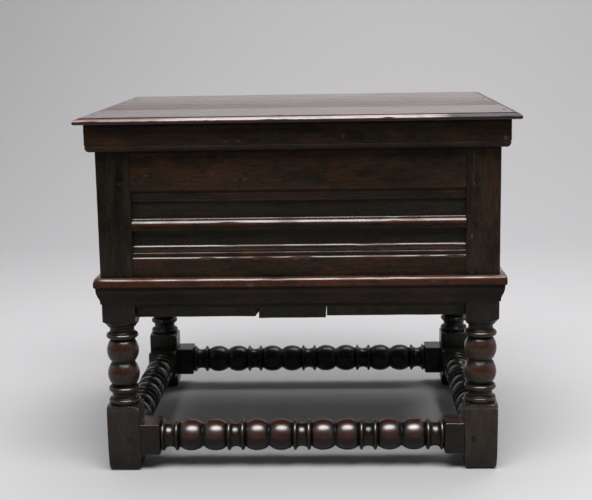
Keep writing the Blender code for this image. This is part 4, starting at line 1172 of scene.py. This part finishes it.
backface = place("ShaderNodeNewGeometry").outputs["Backfacing"]
fromBehind = times(backface, place("ShaderNodeLightPath").outputs["Is Camera Ray"])
clear = made("ShaderNodeBsdfTransparent")
mixed = made("ShaderNodeMixShader", {0: fromBehind, 1: shader.outputs[0], 2: clear})
send(workTree.nodes["Material Output"].inputs, {"Surface": mixed})
mesh.materials.append(paper)
floor = addObject("paperSweep", mesh)
floor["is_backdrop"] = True

# soft studio light
lamps = {
    "softBox": {"at": (0.10, -0.95, 2.15), "aim": (0.0, -0.05, 0.2), "size": (2.5, 1.3), "power": 49.0},
    "backTop": {"at": (0.25, 0.70, 2.4), "aim": (0.15, 0.8, 0.0), "size": (2.7, 1.45), "power": 34.0},
}
for name, lamp in lamps.items():
    light = bpy.data.lights.new(name, "AREA")
    light.shape = "ELLIPSE"
    light.size, light.size_y = lamp["size"]
    light.energy = lamp["power"]
    lampObject = addObject(name, light)
    lampObject.location = lamp["at"]
    lampObject.rotation_euler = (Vector(lamp["aim"]) - Vector(lamp["at"])).to_track_quat("-Z", "Y").to_euler()

# world: a plain background, and for the light a studio that is dark on the camera's side
studio = {"colour": (0.98, 0.97, 1.0), "background": 0.5, "front": 0.02, "back": 0.30}
world = scene.world or bpy.data.worlds.new("studio")
scene.world = world
world.use_nodes = True
air = openTree(world.node_tree)
toBack = split(place("ShaderNodeTexCoord").outputs["Generated"])["Y"]
room = ramp(toBack, -0.8, 0.2, studio["front"], studio["back"])
seen = place("ShaderNodeLightPath").outputs["Is Camera Ray"]
unseen = times(calc("SUBTRACT", 1.0, seen), room)
strength = calc("ADD", times(seen, studio["background"]), unseen)
send(air.nodes["Background"].inputs, {"Color": (*studio["colour"], 1), "Strength": strength})

# camera, fitted to the photograph's frame; angles in degrees, focal length in pixels
view = {"focal": 1232.05, "at": (0.0535, -1.7008, 0.5638), "yaw": -2.1611, "pitch": 10.4423, "roll": -0.9849,
        "wide": 592, "sensor": 36.0}
yaw, pitch, roll = (radians(view[key]) for key in ("yaw", "pitch", "roll"))
forward = Vector((sin(yaw) * cos(pitch), cos(yaw) * cos(pitch), -sin(pitch)))
level = Vector((cos(yaw), -sin(yaw), 0))
up = level.cross(forward)
right = level * cos(roll) + up * sin(roll)
above = up * cos(roll) - level * sin(roll)
camera = bpy.data.cameras.new("camera")
camera.sensor_width = view["sensor"]
camera.lens = view["sensor"] * view["focal"] / view["wide"]
cameraObject = addObject("camera", camera)
turn = Matrix((right, above, -forward)).transposed()
cameraObject.matrix_world = Matrix.Translation(view["at"]) @ turn.to_4x4()
scene.camera = cameraObject
scene.view_settings.view_transform = "Standard"
print("stage, light and camera set")

low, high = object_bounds()
